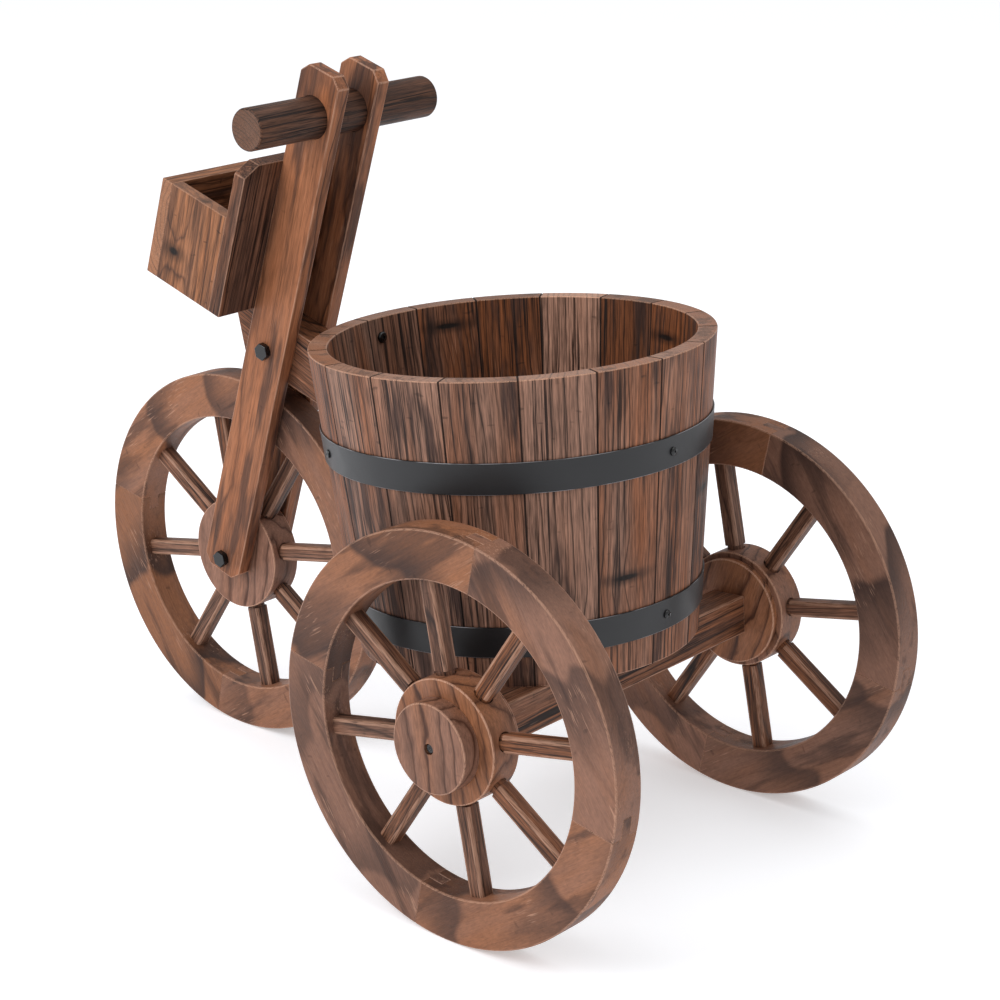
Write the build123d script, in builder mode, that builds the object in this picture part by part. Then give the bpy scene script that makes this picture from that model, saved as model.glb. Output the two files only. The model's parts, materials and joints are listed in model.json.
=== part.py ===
from build123d import *
import os
from math import cos, degrees, radians, sin, sqrt

# Wooden tricycle planter: a stave barrel carried on a square axle beam between two rear
# wheels, tied by a neck block to a raked fork that holds the front wheel, a handlebar and
# a small open box.  Row frame: X to the right, Y forward, Z up; the origin is on the
# ground below the middle of the wheelbase.  Millimetres and degrees.

# ---- driving dimensions ----------------------------------------------------------------
WHEEL_DIAMETER = 320.0
WHEELBASE = 406.0
TRACK = 355.0                  # between the middles of the two rear rims

RIM_WIDTH = 28.0
RIM_DEPTH = 38.0               # from tread to the inside of the rim
RIM_EASE = 1.0
FELLOES = 4
FELLOE_START = 11.0            # first rim joint, from straight ahead and upwards
TONGUE_LENGTH = 16.0           # middle third of a felloe, let into its neighbour

SPOKES = 8
SPOKE_START = 33.5
SPOKE_SIDE = 13.5
SPOKE_EASE = 2.2
SPOKE_FOOT_DIAMETER = 13.6     # turned end that stands in the hub
SPOKE_FOOT_DEPTH = 13.0
SPOKE_FOOT_SHOW = 3.0          # turned length left outside the hub
SPOKE_TIP_DIAMETER = 9.0
SPOKE_TIP_DEPTH = 12.0

HUB_DIAMETER = 97.0
HUB_COLLAR_DIAMETER = 88.0
HUB_COLLAR_THICKNESS = 6.0
HUB_CAP_DIAMETER = 70.0
HUB_CAP_THICKNESS = 16.0
HUB_EASE = 1.0

BEAM_SIDE = 32.0
BEAM_EASE = 1.5
AXLE_SCREW_DIAMETER = 6.0
AXLE_SCREW_GRIP = 55.0         # length held in the beam
AXLE_HEAD_DIAMETER = 7.8
AXLE_HEAD_HEIGHT = 3.5
AXLE_HEAD_RECESS = 5.5         # depth of the pocket in the hub cap

BARREL_LEAN = 4.5              # top leans forward
BARREL_REACH = 80.3            # barrel axis ahead of the rear axle, square to the lean
BARREL_HEIGHT = 240.0
BARREL_TOP_DIAMETER = 316.0
BARREL_BOTTOM_DIAMETER = 268.4
STAVES = 17
STAVE_START = 10.6             # first stave joint, from the right-hand side
STAVE_THICKNESS = 15.0
STAVE_EASE = 0.8               # at the rim and the foot
BOTTOM_THICKNESS = 12.0
BOTTOM_PLANKS = 3
HOOP_WIDTH = 24.5
HOOP_THICKNESS = 1.5
UPPER_HOOP_DROP = 73.8         # hoop middles below the barrel's rim
LOWER_HOOP_DROP = 203.0
HOOP_SCREWS = 3
HOOP_SCREW_START = -90.0

FORK_RAKE = 17.0
BLADE_WIDTH = 43.0
BLADE_THICKNESS = 13.0
BLADE_GAP = 32.0               # clear space between the two blades
BLADE_BELOW_AXLE = 13.0
BLADE_ABOVE_AXLE = 457.0
BLADE_CORNER = 8.0
BLADE_EASE = 1.0
HANDLEBAR_HEIGHT = 417.0       # along the fork, above the axle
HANDLEBAR_DIAMETER = 34.0
HANDLEBAR_LENGTH = 200.0
HANDLEBAR_EASE = 1.5

NECK_HEIGHT = 206.0            # middle of the neck along the fork, above the axle
NECK_DEPTH = 48.0
NECK_NOSE_TOP = 60.0           # nose ahead of the fork line, top and bottom
NECK_NOSE_BOTTOM = 31.0
NECK_HEEL_DROP = 7.0           # heel of the neck below the barrel's rim
NECK_HEEL_THROAT = 40.0        # where the top starts to rise, behind the fork line
NECK_EASE = 1.0
NECK_SCREW_DROPS = (16.0, 54.0)

BOX_WIDTH = 137.0
BOX_DEPTH = 89.5
BOX_HEIGHT = 85.5
BOX_BACK_HEIGHT = 135.0
BOX_BACK_CORNER = (13.5, 10.0)
BOX_ABOVE_AXLE = 235.0
BOX_BOARD = 12.0
BOX_EASE = 0.7
BOX_SCREW_HEIGHTS = (24.0, 66.0)

BOLT_DIAMETER = 8.0            # the fork's two cross bolts
BOLT_HEAD_FLATS = 13.0
BOLT_HEAD_HEIGHT = 5.3
BOLT_HEAD_EASE = 0.6
NUT_HEIGHT = 6.5
BOLT_TAIL = 2.0
HUB_WASHER_DIAMETER = 24.0
WOOD_SCREW_DIAMETER = 4.5
WOOD_SCREW_LENGTH = 38.0       # below the head
WOOD_SCREW_HEAD_DIAMETER = 9.0
WOOD_SCREW_HEAD_HEIGHT = 2.6
HOOP_SCREW_DIAMETER = 3.0
HOOP_SCREW_HEAD_DIAMETER = 6.8
HOOP_SCREW_HEAD_HEIGHT = 1.8
HOOP_SCREW_LENGTH = 9.0

# ---- clearances ------------------------------------------------------------------------
GLUE_LINE = 0.12               # between glued wooden pieces, and hoop on staves
RUNNING_FIT = 0.10             # on the radius, wheel on its axle
BOLT_FIT = 0.10                # on the radius, bolt or screw in a fixed piece
FOOT_FIT = 0.7                 # on the radius, spoke foot in the hub's wide hole
HEAD_FIT = 0.4                 # on the radius, round a sunk screw head
END_PLAY = 0.4                 # wheel sideways on its axle

# ---- places worked out from them -------------------------------------------------------
WHEEL_RADIUS = WHEEL_DIAMETER / 2
RIM_INNER = WHEEL_RADIUS - RIM_DEPTH
RIM_MIDDLE = WHEEL_RADIUS - RIM_DEPTH / 2
FELLOE_SWEEP = 360.0 / FELLOES
FELLOE_GAP = degrees(GLUE_LINE / RIM_INNER)
TONGUE_SWEEP = degrees(TONGUE_LENGTH / WHEEL_RADIUS)
TONGUE_WIDTH = RIM_WIDTH / 3
HUB_RADIUS = HUB_DIAMETER / 2
FOOT_END = HUB_RADIUS - SPOKE_FOOT_DEPTH
FRONT_Y = WHEELBASE / 2
REAR_Y = -WHEELBASE / 2
REAR_HUB_INNER = (TRACK - RIM_WIDTH) / 2
REAR_HUB_OUTER = (TRACK + RIM_WIDTH) / 2
CAP_FACE = REAR_HUB_OUTER + HUB_CAP_THICKNESS
BEAM_HALF = REAR_HUB_INNER - HUB_COLLAR_THICKNESS - END_PLAY

LEAN = radians(BARREL_LEAN)
BARREL_UP = Vector(0, sin(LEAN), cos(LEAN))
BARREL_FORWARD = Vector(0, cos(LEAN), -sin(LEAN))
REAR_AXLE = Vector(0, REAR_Y, WHEEL_RADIUS)
BARREL_FOOT = REAR_AXLE + BARREL_FORWARD * BARREL_REACH + BARREL_UP * (BEAM_SIDE / 2)
BARREL_AXIS = Axis(BARREL_FOOT, BARREL_UP)
BARREL_TOP_RADIUS = BARREL_TOP_DIAMETER / 2
BARREL_BOTTOM_RADIUS = BARREL_BOTTOM_DIAMETER / 2
STAVE_SWEEP = 360.0 / STAVES
STAVE_GAP = degrees(GLUE_LINE / BARREL_BOTTOM_RADIUS)
NECK_AZIMUTH = 90.0

RAKE = radians(FORK_RAKE)
FRONT_AXLE = Vector(0, FRONT_Y, WHEEL_RADIUS)
FORK_UP = Vector(0, -sin(RAKE), cos(RAKE))
FORK_FORWARD = Vector(0, cos(RAKE), sin(RAKE))
FORK_MIDDLE = Plane(origin=FRONT_AXLE, x_dir=FORK_FORWARD, z_dir=(1, 0, 0))
FORK_FACE = BLADE_GAP / 2 + BLADE_THICKNESS
BLADE_MIDDLE = (BLADE_GAP + BLADE_THICKNESS) / 2
NECK_LOW = NECK_HEIGHT - NECK_DEPTH / 2
NECK_HIGH = NECK_HEIGHT + NECK_DEPTH / 2
BOX_WALL_LENGTH = BOX_DEPTH - 2 * BOX_BOARD - 2 * GLUE_LINE


def barrel_radius(drop, inset=0.0):
    """Outer radius of the staves at a depth below the rim, less an inset."""
    taper = (BARREL_TOP_RADIUS - BARREL_BOTTOM_RADIUS) / BARREL_HEIGHT
    return BARREL_TOP_RADIUS - taper * drop - inset


def barrel_out(azimuth):
    """Unit vector away from the barrel's axis, azimuth counted from the right-hand side."""
    turn = radians(azimuth)
    return Vector(1, 0, 0) * cos(turn) + BARREL_FORWARD * sin(turn)


def barrel_section(azimuth):
    """Plane through the barrel's axis: x is the radius, y is the height above the foot."""
    out = barrel_out(azimuth)
    return Plane(origin=BARREL_FOOT, x_dir=out, z_dir=out.cross(BARREL_UP))


def barrel_tangent(azimuth, drop, radius, facing=1):
    """Plane square to a radius of the barrel, facing out (1) or towards its axis (-1)."""
    out = barrel_out(azimuth)
    place = BARREL_FOOT + BARREL_UP * (BARREL_HEIGHT - drop) + out * radius
    return Plane(origin=place, x_dir=BARREL_UP, z_dir=out * facing)


def wheel_side(x, y):
    """Side plane of a wheel, facing right, with its origin on the wheel's axis."""
    return Plane(origin=(x, y, WHEEL_RADIUS), x_dir=(0, 1, 0), z_dir=(1, 0, 0))


def wheel_section(x, y, angle):
    """Plane through a wheel's axis: x is the radius, y is to the right."""
    turn = radians(angle)
    out = Vector(0, cos(turn), sin(turn))
    return Plane(origin=(x, y, WHEEL_RADIUS), x_dir=out, z_dir=out.cross(Vector(1, 0, 0)))


def spoke_planes(x, y, radius):
    """Planes square to each spoke at one radius, facing away from the wheel's axis."""
    planes = []
    for index in range(SPOKES):
        turn = radians(SPOKE_START + index * 360.0 / SPOKES)
        out = Vector(0, cos(turn), sin(turn))
        place = Vector(x, y, WHEEL_RADIUS) + out * radius
        planes.append(Plane(origin=place, x_dir=(1, 0, 0), z_dir=out))
    return planes


def fork_place(point):
    """A point of the middle plane as forward and upward distances on the fork."""
    offset = point - FRONT_AXLE
    return offset.dot(FORK_FORWARD), offset.dot(FORK_UP)


def box_plane(forward, up=0.0, right=0.0):
    """Plane facing forward on the box, measured from the foot of its back board."""
    place = FRONT_AXLE + FORK_FORWARD * (BLADE_WIDTH / 2 + forward)
    place += FORK_UP * (BOX_ABOVE_AXLE + up) + Vector(right, 0, 0)
    return Plane(origin=place, x_dir=(-1, 0, 0), z_dir=FORK_FORWARD)


def wood_screw_tops():
    """Planes on the heads of the long wood screws, facing away from the wood."""
    tops = []
    for side in (-1, 1):
        under = REAR_AXLE - BARREL_UP * (BEAM_SIDE / 2)
        place = under + Vector(side * BARREL_BOTTOM_RADIUS / 2, 0, 0)
        tops.append(Plane(origin=place, x_dir=(1, 0, 0), z_dir=BARREL_UP * -1))
        for height in BOX_SCREW_HEIGHTS:
            tops.append(box_plane(BOX_BOARD, height, side * BLADE_MIDDLE))
    for drop in NECK_SCREW_DROPS:
        wall = barrel_radius(drop + WOOD_SCREW_HEAD_DIAMETER / 2, STAVE_THICKNESS)
        hollow = wall - sqrt(wall ** 2 - (WOOD_SCREW_HEAD_DIAMETER / 2) ** 2)
        top = wall - hollow - WOOD_SCREW_HEAD_HEIGHT
        tops.append(barrel_tangent(NECK_AZIMUTH, drop, top, facing=-1))
    return tops


def drill_for_wood_screws():
    """Clearance holes and head pockets for the long wood screws, in the piece being made."""
    with Locations(*wood_screw_tops()):
        CounterBoreHole(
            radius=WOOD_SCREW_DIAMETER / 2 + BOLT_FIT,
            counter_bore_radius=WOOD_SCREW_HEAD_DIAMETER / 2 + HEAD_FIT,
            counter_bore_depth=WOOD_SCREW_HEAD_HEIGHT,
            depth=WOOD_SCREW_HEAD_HEIGHT + WOOD_SCREW_LENGTH + GLUE_LINE,
        )


def hoop_screw_planes(drop, radius):
    """Planes at each screw of a hoop, facing out."""
    step = 360.0 / HOOP_SCREWS
    azimuths = [HOOP_SCREW_START + index * step for index in range(HOOP_SCREWS)]
    return [barrel_tangent(azimuth, drop, radius) for azimuth in azimuths]


def hoop_screw_seat(drop):
    """Radius of the flat under a hoop screw's head, just clear of the hoop's upper edge."""
    return barrel_radius(drop - HOOP_SCREW_HEAD_DIAMETER / 2, -HOOP_THICKNESS)


# ---- wheels ----------------------------------------------------------------------------
def build_felloe(wheel, x, y, index):
    """Quarter of the rim; its tongue stands in the slot of the felloe before it."""
    start = FELLOE_START + index * FELLOE_SWEEP
    slot_start = start + FELLOE_SWEEP - FELLOE_GAP - TONGUE_SWEEP
    wheel_axis = Axis((x, y, WHEEL_RADIUS), (1, 0, 0))
    with BuildPart() as felloe:
        with BuildSketch(wheel_section(x, y, start)) as section:
            with Locations((RIM_MIDDLE, 0)):
                Rectangle(RIM_DEPTH, RIM_WIDTH)
            chamfer(section.vertices(), RIM_EASE)
        revolve(axis=wheel_axis, revolution_arc=FELLOE_SWEEP - FELLOE_GAP)
        with BuildSketch(wheel_section(x, y, slot_start)):
            with Locations((RIM_MIDDLE, 0)):
                Rectangle(2 * RIM_DEPTH, TONGUE_WIDTH)
        revolve(axis=wheel_axis, revolution_arc=2 * TONGUE_SWEEP, mode=Mode.SUBTRACT)
        with BuildSketch(wheel_section(x, y, start - TONGUE_SWEEP)):
            with Locations((RIM_MIDDLE, 0)):
                Rectangle(RIM_DEPTH, TONGUE_WIDTH - 2 * GLUE_LINE)
        revolve(axis=wheel_axis, revolution_arc=2 * TONGUE_SWEEP)
        with Locations(*spoke_planes(x, y, RIM_INNER)):
            Hole(SPOKE_TIP_DIAMETER / 2 + GLUE_LINE, SPOKE_TIP_DEPTH)
    felloe.part.label = f"{wheel}_felloe_{index + 1}"
    export_step(felloe.part, f"parts/{wheel}_felloe_{index + 1}.step")


def build_spokes(wheel, x, y):
    """Square spokes with eased corners, a turned foot and a thin tip."""
    shoulder = HUB_RADIUS + SPOKE_FOOT_SHOW
    head = sqrt(RIM_INNER ** 2 - (SPOKE_SIDE / 2) ** 2) - GLUE_LINE
    tip_end = RIM_INNER + SPOKE_TIP_DEPTH - GLUE_LINE
    with BuildPart() as spokes:
        with BuildSketch(*spoke_planes(x, y, shoulder)) as squares:
            Rectangle(SPOKE_SIDE, SPOKE_SIDE)
            chamfer(squares.vertices(), SPOKE_EASE)
        extrude(amount=head - shoulder)
        with BuildSketch(*spoke_planes(x, y, FOOT_END)):
            Circle(SPOKE_FOOT_DIAMETER / 2)
        extrude(amount=shoulder - FOOT_END)
        with BuildSketch(*spoke_planes(x, y, head)):
            Circle(SPOKE_TIP_DIAMETER / 2)
        extrude(amount=tip_end - head)
    spokes.part.label = f"{wheel}_spokes"
    export_step(spokes.part, f"parts/{wheel}_spokes.step")


def build_hub(wheel, x, y, axle_diameter):
    """Turned hub, as wide as the rim, drilled for the axle and for the spoke feet."""
    with BuildPart() as hub:
        with BuildSketch(wheel_side(x, y)):
            Circle(HUB_RADIUS)
        extrude(amount=RIM_WIDTH / 2, both=True)
        chamfer(hub.edges().filter_by(GeomType.CIRCLE), HUB_EASE)
        with Locations(wheel_side(x, y)):
            Hole(axle_diameter / 2 + RUNNING_FIT, RIM_WIDTH)
        with BuildSketch(*spoke_planes(x, y, FOOT_END - GLUE_LINE)):
            Circle(SPOKE_FOOT_DIAMETER / 2 + FOOT_FIT)
        extrude(amount=2 * SPOKE_FOOT_DEPTH, mode=Mode.SUBTRACT)
    hub.part.label = f"{wheel}_hub"
    export_step(hub.part, f"parts/{wheel}_hub.step")


def build_hub_collar(wheel, side):
    """Thin disc on the inner face of a rear hub, which runs against the beam's end."""
    with BuildPart() as collar:
        with BuildSketch(wheel_side(side * REAR_HUB_INNER, REAR_Y)):
            Circle(HUB_COLLAR_DIAMETER / 2)
            Circle(AXLE_SCREW_DIAMETER / 2 + RUNNING_FIT, mode=Mode.SUBTRACT)
        extrude(amount=-side * HUB_COLLAR_THICKNESS)
    collar.part.label = f"{wheel}_hub_collar"
    export_step(collar.part, f"parts/{wheel}_hub_collar.step")


def build_hub_cap(wheel, side):
    """Raised disc on the outer face of a rear hub, with a pocket for the screw head."""
    face = Plane(origin=(side * CAP_FACE, REAR_Y, WHEEL_RADIUS), z_dir=(side, 0, 0))
    with BuildPart() as cap:
        with BuildSketch(face):
            Circle(HUB_CAP_DIAMETER / 2)
        extrude(amount=-HUB_CAP_THICKNESS)
        rims = cap.edges().filter_by(GeomType.CIRCLE)
        chamfer(rims.sort_by(Axis(REAR_AXLE, (side, 0, 0)))[-1], HUB_EASE)
        with Locations(face):
            CounterBoreHole(
                radius=AXLE_SCREW_DIAMETER / 2 + RUNNING_FIT,
                counter_bore_radius=AXLE_HEAD_DIAMETER / 2 + HEAD_FIT,
                counter_bore_depth=AXLE_HEAD_RECESS,
            )
    cap.part.label = f"{wheel}_hub_cap"
    export_step(cap.part, f"parts/{wheel}_hub_cap.step")


# ---- rear axle -------------------------------------------------------------------------
def build_axle_beam():
    """Square beam under the barrel, turned with its lean, drilled for its screws."""
    section = Plane(origin=REAR_AXLE, x_dir=BARREL_FORWARD, z_dir=(1, 0, 0))
    with BuildPart() as beam:
        with BuildSketch(section) as square:
            Rectangle(BEAM_SIDE, BEAM_SIDE)
            chamfer(square.vertices(), BEAM_EASE)
        extrude(amount=BEAM_HALF, both=True)
        for side in (-1, 1):
            end = Plane(origin=REAR_AXLE + Vector(side * BEAM_HALF, 0, 0), z_dir=(side, 0, 0))
            with Locations(end):
                Hole(AXLE_SCREW_DIAMETER / 2 + BOLT_FIT, AXLE_SCREW_GRIP + GLUE_LINE)
        drill_for_wood_screws()
    beam.part.label = "axle_beam"
    export_step(beam.part, "parts/axle_beam.step")


def build_axle_screws():
    """Two headed screws in the beam's ends, on which the rear wheels turn."""
    head_seat = CAP_FACE - AXLE_HEAD_RECESS + END_PLAY
    with BuildPart() as screws:
        for side in (-1, 1):
            seat = Plane(origin=(side * head_seat, REAR_Y, WHEEL_RADIUS), z_dir=(side, 0, 0))
            with BuildSketch(seat):
                Circle(AXLE_HEAD_DIAMETER / 2)
            extrude(amount=AXLE_HEAD_HEIGHT)
            with BuildSketch(seat):
                Circle(AXLE_SCREW_DIAMETER / 2)
            extrude(amount=BEAM_HALF - AXLE_SCREW_GRIP - head_seat)
    screws.part.label = "axle_screws"
    export_step(screws.part, "parts/axle_screws.step")


# ---- barrel ----------------------------------------------------------------------------
def build_stave(index):
    """Tapered stave, a sector of the wall, drilled where a screw goes in."""
    start = STAVE_START + index * STAVE_SWEEP
    with BuildPart() as stave:
        with BuildSketch(barrel_section(start)):
            Polygon(
                (barrel_radius(BARREL_HEIGHT, STAVE_THICKNESS), 0),
                (barrel_radius(BARREL_HEIGHT, STAVE_EASE), 0),
                (barrel_radius(BARREL_HEIGHT), STAVE_EASE),
                (barrel_radius(STAVE_EASE), BARREL_HEIGHT - STAVE_EASE),
                (barrel_radius(0, STAVE_EASE), BARREL_HEIGHT),
                (barrel_radius(0, STAVE_THICKNESS - STAVE_EASE), BARREL_HEIGHT),
                (barrel_radius(STAVE_EASE, STAVE_THICKNESS), BARREL_HEIGHT - STAVE_EASE),
                align=None,
            )
        revolve(axis=BARREL_AXIS, revolution_arc=STAVE_SWEEP - STAVE_GAP)
        for drop in (UPPER_HOOP_DROP, LOWER_HOOP_DROP):
            with Locations(*hoop_screw_planes(drop, hoop_screw_seat(drop))):
                Hole(HOOP_SCREW_DIAMETER / 2 + BOLT_FIT, HOOP_SCREW_LENGTH + GLUE_LINE)
        drill_for_wood_screws()
    stave.part.label = f"stave_{index + 1:02d}"
    export_step(stave.part, f"parts/stave_{index + 1:02d}.step")


def build_barrel_bottom():
    """Round bottom of butted planks, flush with the lower ends of the staves."""
    plank = 2 * barrel_radius(BARREL_HEIGHT, STAVE_THICKNESS) / BOTTOM_PLANKS
    upper_drop = BARREL_HEIGHT - BOTTOM_THICKNESS
    with BuildPart() as bottom:
        with BuildSketch(barrel_section(0)):
            Polygon(
                (0, 0),
                (barrel_radius(BARREL_HEIGHT, STAVE_THICKNESS + GLUE_LINE), 0),
                (barrel_radius(upper_drop, STAVE_THICKNESS + GLUE_LINE), BOTTOM_THICKNESS),
                (0, BOTTOM_THICKNESS),
                align=None,
            )
        revolve(axis=BARREL_AXIS)
        with BuildSketch(Plane(origin=BARREL_FOOT, x_dir=(1, 0, 0), z_dir=BARREL_UP)):
            with GridLocations(0, plank, 1, BOTTOM_PLANKS - 1):
                Rectangle(BARREL_BOTTOM_DIAMETER, GLUE_LINE)
        extrude(amount=BOTTOM_THICKNESS, mode=Mode.SUBTRACT)
        drill_for_wood_screws()
    bottom.part.label = "barrel_bottom"
    export_step(bottom.part, "parts/barrel_bottom.step")


def build_hoop(name, drop):
    """Flat steel band, coned like the staves that it holds."""
    upper = drop - HOOP_WIDTH / 2
    lower = drop + HOOP_WIDTH / 2
    with BuildPart() as hoop:
        with BuildSketch(barrel_section(0)):
            Polygon(
                (barrel_radius(lower, -GLUE_LINE), BARREL_HEIGHT - lower),
                (barrel_radius(lower, -HOOP_THICKNESS), BARREL_HEIGHT - lower),
                (barrel_radius(upper, -HOOP_THICKNESS), BARREL_HEIGHT - upper),
                (barrel_radius(upper, -GLUE_LINE), BARREL_HEIGHT - upper),
                align=None,
            )
        revolve(axis=BARREL_AXIS)
        with Locations(*hoop_screw_planes(drop, hoop_screw_seat(drop))):
            Hole(HOOP_SCREW_DIAMETER / 2 + BOLT_FIT, HOOP_SCREW_LENGTH)
    hoop.part.label = name
    export_step(hoop.part, f"parts/{name}.step")


def build_hoop_screws():
    """Flat-headed screws through both hoops into the staves."""
    with BuildPart() as screws:
        for drop in (UPPER_HOOP_DROP, LOWER_HOOP_DROP):
            seats = hoop_screw_planes(drop, hoop_screw_seat(drop) + GLUE_LINE)
            with BuildSketch(*seats):
                Circle(HOOP_SCREW_HEAD_DIAMETER / 2)
            extrude(amount=HOOP_SCREW_HEAD_HEIGHT)
            with BuildSketch(*seats):
                Circle(HOOP_SCREW_DIAMETER / 2)
            extrude(amount=-HOOP_SCREW_LENGTH)
    screws.part.label = "hoop_screws"
    export_step(screws.part, "parts/hoop_screws.step")


# ---- fork ------------------------------------------------------------------------------
def build_blade(name, side):
    """Raked plank with clipped corners, bored for axle, neck bolt and handlebar."""
    inner_face = FORK_MIDDLE.offset(side * BLADE_GAP / 2)
    with BuildPart() as blade:
        with BuildSketch(inner_face) as outline:
            with Locations((0, (BLADE_ABOVE_AXLE - BLADE_BELOW_AXLE) / 2)):
                Rectangle(BLADE_WIDTH, BLADE_ABOVE_AXLE + BLADE_BELOW_AXLE)
            chamfer(outline.vertices(), BLADE_CORNER)
        extrude(amount=side * BLADE_THICKNESS)
        chamfer(blade.faces().filter_by(Axis.X).edges(), BLADE_EASE)
        with BuildSketch(inner_face):
            with Locations((0, 0), (0, NECK_HEIGHT)):
                Circle(BOLT_DIAMETER / 2 + BOLT_FIT)
            with Locations((0, HANDLEBAR_HEIGHT)):
                Circle(HANDLEBAR_DIAMETER / 2 + GLUE_LINE)
        extrude(amount=side * BLADE_THICKNESS, mode=Mode.SUBTRACT)
        drill_for_wood_screws()
    blade.part.label = name
    export_step(blade.part, f"parts/{name}.step")


def build_handlebar():
    """Round bar through both blades."""
    with BuildPart() as bar:
        with BuildSketch(FORK_MIDDLE):
            with Locations((0, HANDLEBAR_HEIGHT)):
                Circle(HANDLEBAR_DIAMETER / 2)
        extrude(amount=HANDLEBAR_LENGTH / 2, both=True)
        chamfer(bar.edges().filter_by(GeomType.CIRCLE), HANDLEBAR_EASE)
    bar.part.label = "handlebar"
    export_step(bar.part, "parts/handlebar.step")


def build_neck():
    """Block between the blades that runs back to the barrel and rises at its heel."""
    heel = BARREL_FOOT + BARREL_UP * (BARREL_HEIGHT - NECK_HEEL_DROP)
    heel_outside = fork_place(heel + BARREL_FORWARD * barrel_radius(NECK_HEEL_DROP))
    heel_inside = fork_place(heel + BARREL_FORWARD * barrel_radius(0, NECK_DEPTH))
    hoop_top = UPPER_HOOP_DROP - HOOP_WIDTH / 2 - GLUE_LINE
    hoop_foot = UPPER_HOOP_DROP + HOOP_WIDTH / 2 + GLUE_LINE
    hoop_inset = -HOOP_THICKNESS - GLUE_LINE
    with BuildPart() as neck:
        with BuildSketch(FORK_MIDDLE):
            with BuildLine():
                Polyline(
                    (NECK_NOSE_TOP, NECK_HIGH),
                    (NECK_NOSE_BOTTOM, NECK_LOW),
                    (heel_inside[0], NECK_LOW),
                    heel_inside,
                    heel_outside,
                    (-NECK_HEEL_THROAT, NECK_HIGH),
                    close=True,
                )
            make_face()
        extrude(amount=BLADE_GAP / 2 - GLUE_LINE, both=True)
        chamfer(neck.faces().filter_by(Axis.X).edges(), NECK_EASE)
        with BuildSketch(barrel_section(0)):
            Polygon(
                (0, 0),
                (barrel_radius(BARREL_HEIGHT, -GLUE_LINE), 0),
                (barrel_radius(0, -GLUE_LINE), BARREL_HEIGHT),
                (0, BARREL_HEIGHT),
                align=None,
            )
            Polygon(
                (0, BARREL_HEIGHT - hoop_foot),
                (barrel_radius(hoop_foot, hoop_inset), BARREL_HEIGHT - hoop_foot),
                (barrel_radius(hoop_top, hoop_inset), BARREL_HEIGHT - hoop_top),
                (0, BARREL_HEIGHT - hoop_top),
                align=None,
            )
        revolve(axis=BARREL_AXIS, mode=Mode.SUBTRACT)
        with BuildSketch(FORK_MIDDLE):
            with Locations((0, NECK_HEIGHT)):
                Circle(BOLT_DIAMETER / 2 + BOLT_FIT)
        extrude(amount=BLADE_GAP, both=True, mode=Mode.SUBTRACT)
        drill_for_wood_screws()
    neck.part.label = "neck_block"
    export_step(neck.part, "parts/neck_block.step")


def build_cross_bolt(name, height):
    """Hexagon-headed bolt across the fork, head on the left."""
    with BuildPart() as bolt:
        with BuildSketch(FORK_MIDDLE.offset(-FORK_FACE)):
            with Locations((0, height)):
                RegularPolygon(BOLT_HEAD_FLATS / 2, 6, major_radius=False)
        extrude(amount=-BOLT_HEAD_HEIGHT)
        chamfer(bolt.faces().sort_by(Axis.X)[0].edges(), BOLT_HEAD_EASE)
        with BuildSketch(FORK_MIDDLE.offset(-FORK_FACE)):
            with Locations((0, height)):
                Circle(BOLT_DIAMETER / 2)
        extrude(amount=2 * FORK_FACE + NUT_HEIGHT + BOLT_TAIL)
    bolt.part.label = name
    export_step(bolt.part, f"parts/{name}.step")


def build_lock_nuts():
    """Hexagon nuts on the right-hand ends of both cross bolts."""
    with BuildPart() as nuts:
        with BuildSketch(FORK_MIDDLE.offset(FORK_FACE)):
            with Locations((0, 0), (0, NECK_HEIGHT)):
                RegularPolygon(BOLT_HEAD_FLATS / 2, 6, major_radius=False)
                Circle(BOLT_DIAMETER / 2 + BOLT_FIT, mode=Mode.SUBTRACT)
        extrude(amount=NUT_HEIGHT)
    nuts.part.label = "lock_nuts"
    export_step(nuts.part, "parts/lock_nuts.step")


def build_hub_washers():
    """Washers that keep the front hub off the blades."""
    with BuildPart() as washers:
        for side in (-1, 1):
            with BuildSketch(FORK_MIDDLE.offset(side * BLADE_GAP / 2)):
                Circle(HUB_WASHER_DIAMETER / 2)
                Circle(BOLT_DIAMETER / 2 + BOLT_FIT, mode=Mode.SUBTRACT)
            extrude(amount=side * (END_PLAY - (BLADE_GAP - RIM_WIDTH) / 2))
    washers.part.label = "hub_washers"
    export_step(washers.part, "parts/hub_washers.step")


def build_wood_screws():
    """Long screws: beam to barrel, barrel to neck, and box to fork."""
    with BuildPart() as screws:
        with BuildSketch(*wood_screw_tops()):
            Circle(WOOD_SCREW_HEAD_DIAMETER / 2)
        extrude(amount=-WOOD_SCREW_HEAD_HEIGHT)
        with BuildSketch(*wood_screw_tops()):
            Circle(WOOD_SCREW_DIAMETER / 2)
        extrude(amount=-WOOD_SCREW_HEAD_HEIGHT - WOOD_SCREW_LENGTH)
    screws.part.label = "wood_screws"
    export_step(screws.part, "parts/wood_screws.step")


# ---- box -------------------------------------------------------------------------------
def build_box_back():
    """Tall back board with clipped upper corners, screwed to the blades."""
    clip_across, clip_down = BOX_BACK_CORNER
    half = BOX_WIDTH / 2
    with BuildPart() as back:
        with BuildSketch(box_plane(0)):
            Polygon(
                (-half, 0),
                (half, 0),
                (half, BOX_BACK_HEIGHT - clip_down),
                (half - clip_across, BOX_BACK_HEIGHT),
                (clip_across - half, BOX_BACK_HEIGHT),
                (-half, BOX_BACK_HEIGHT - clip_down),
                align=None,
            )
        extrude(amount=BOX_BOARD)
        chamfer(back.edges(), BOX_EASE)
        drill_for_wood_screws()
    back.part.label = "box_back"
    export_step(back.part, "parts/box_back.step")


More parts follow.
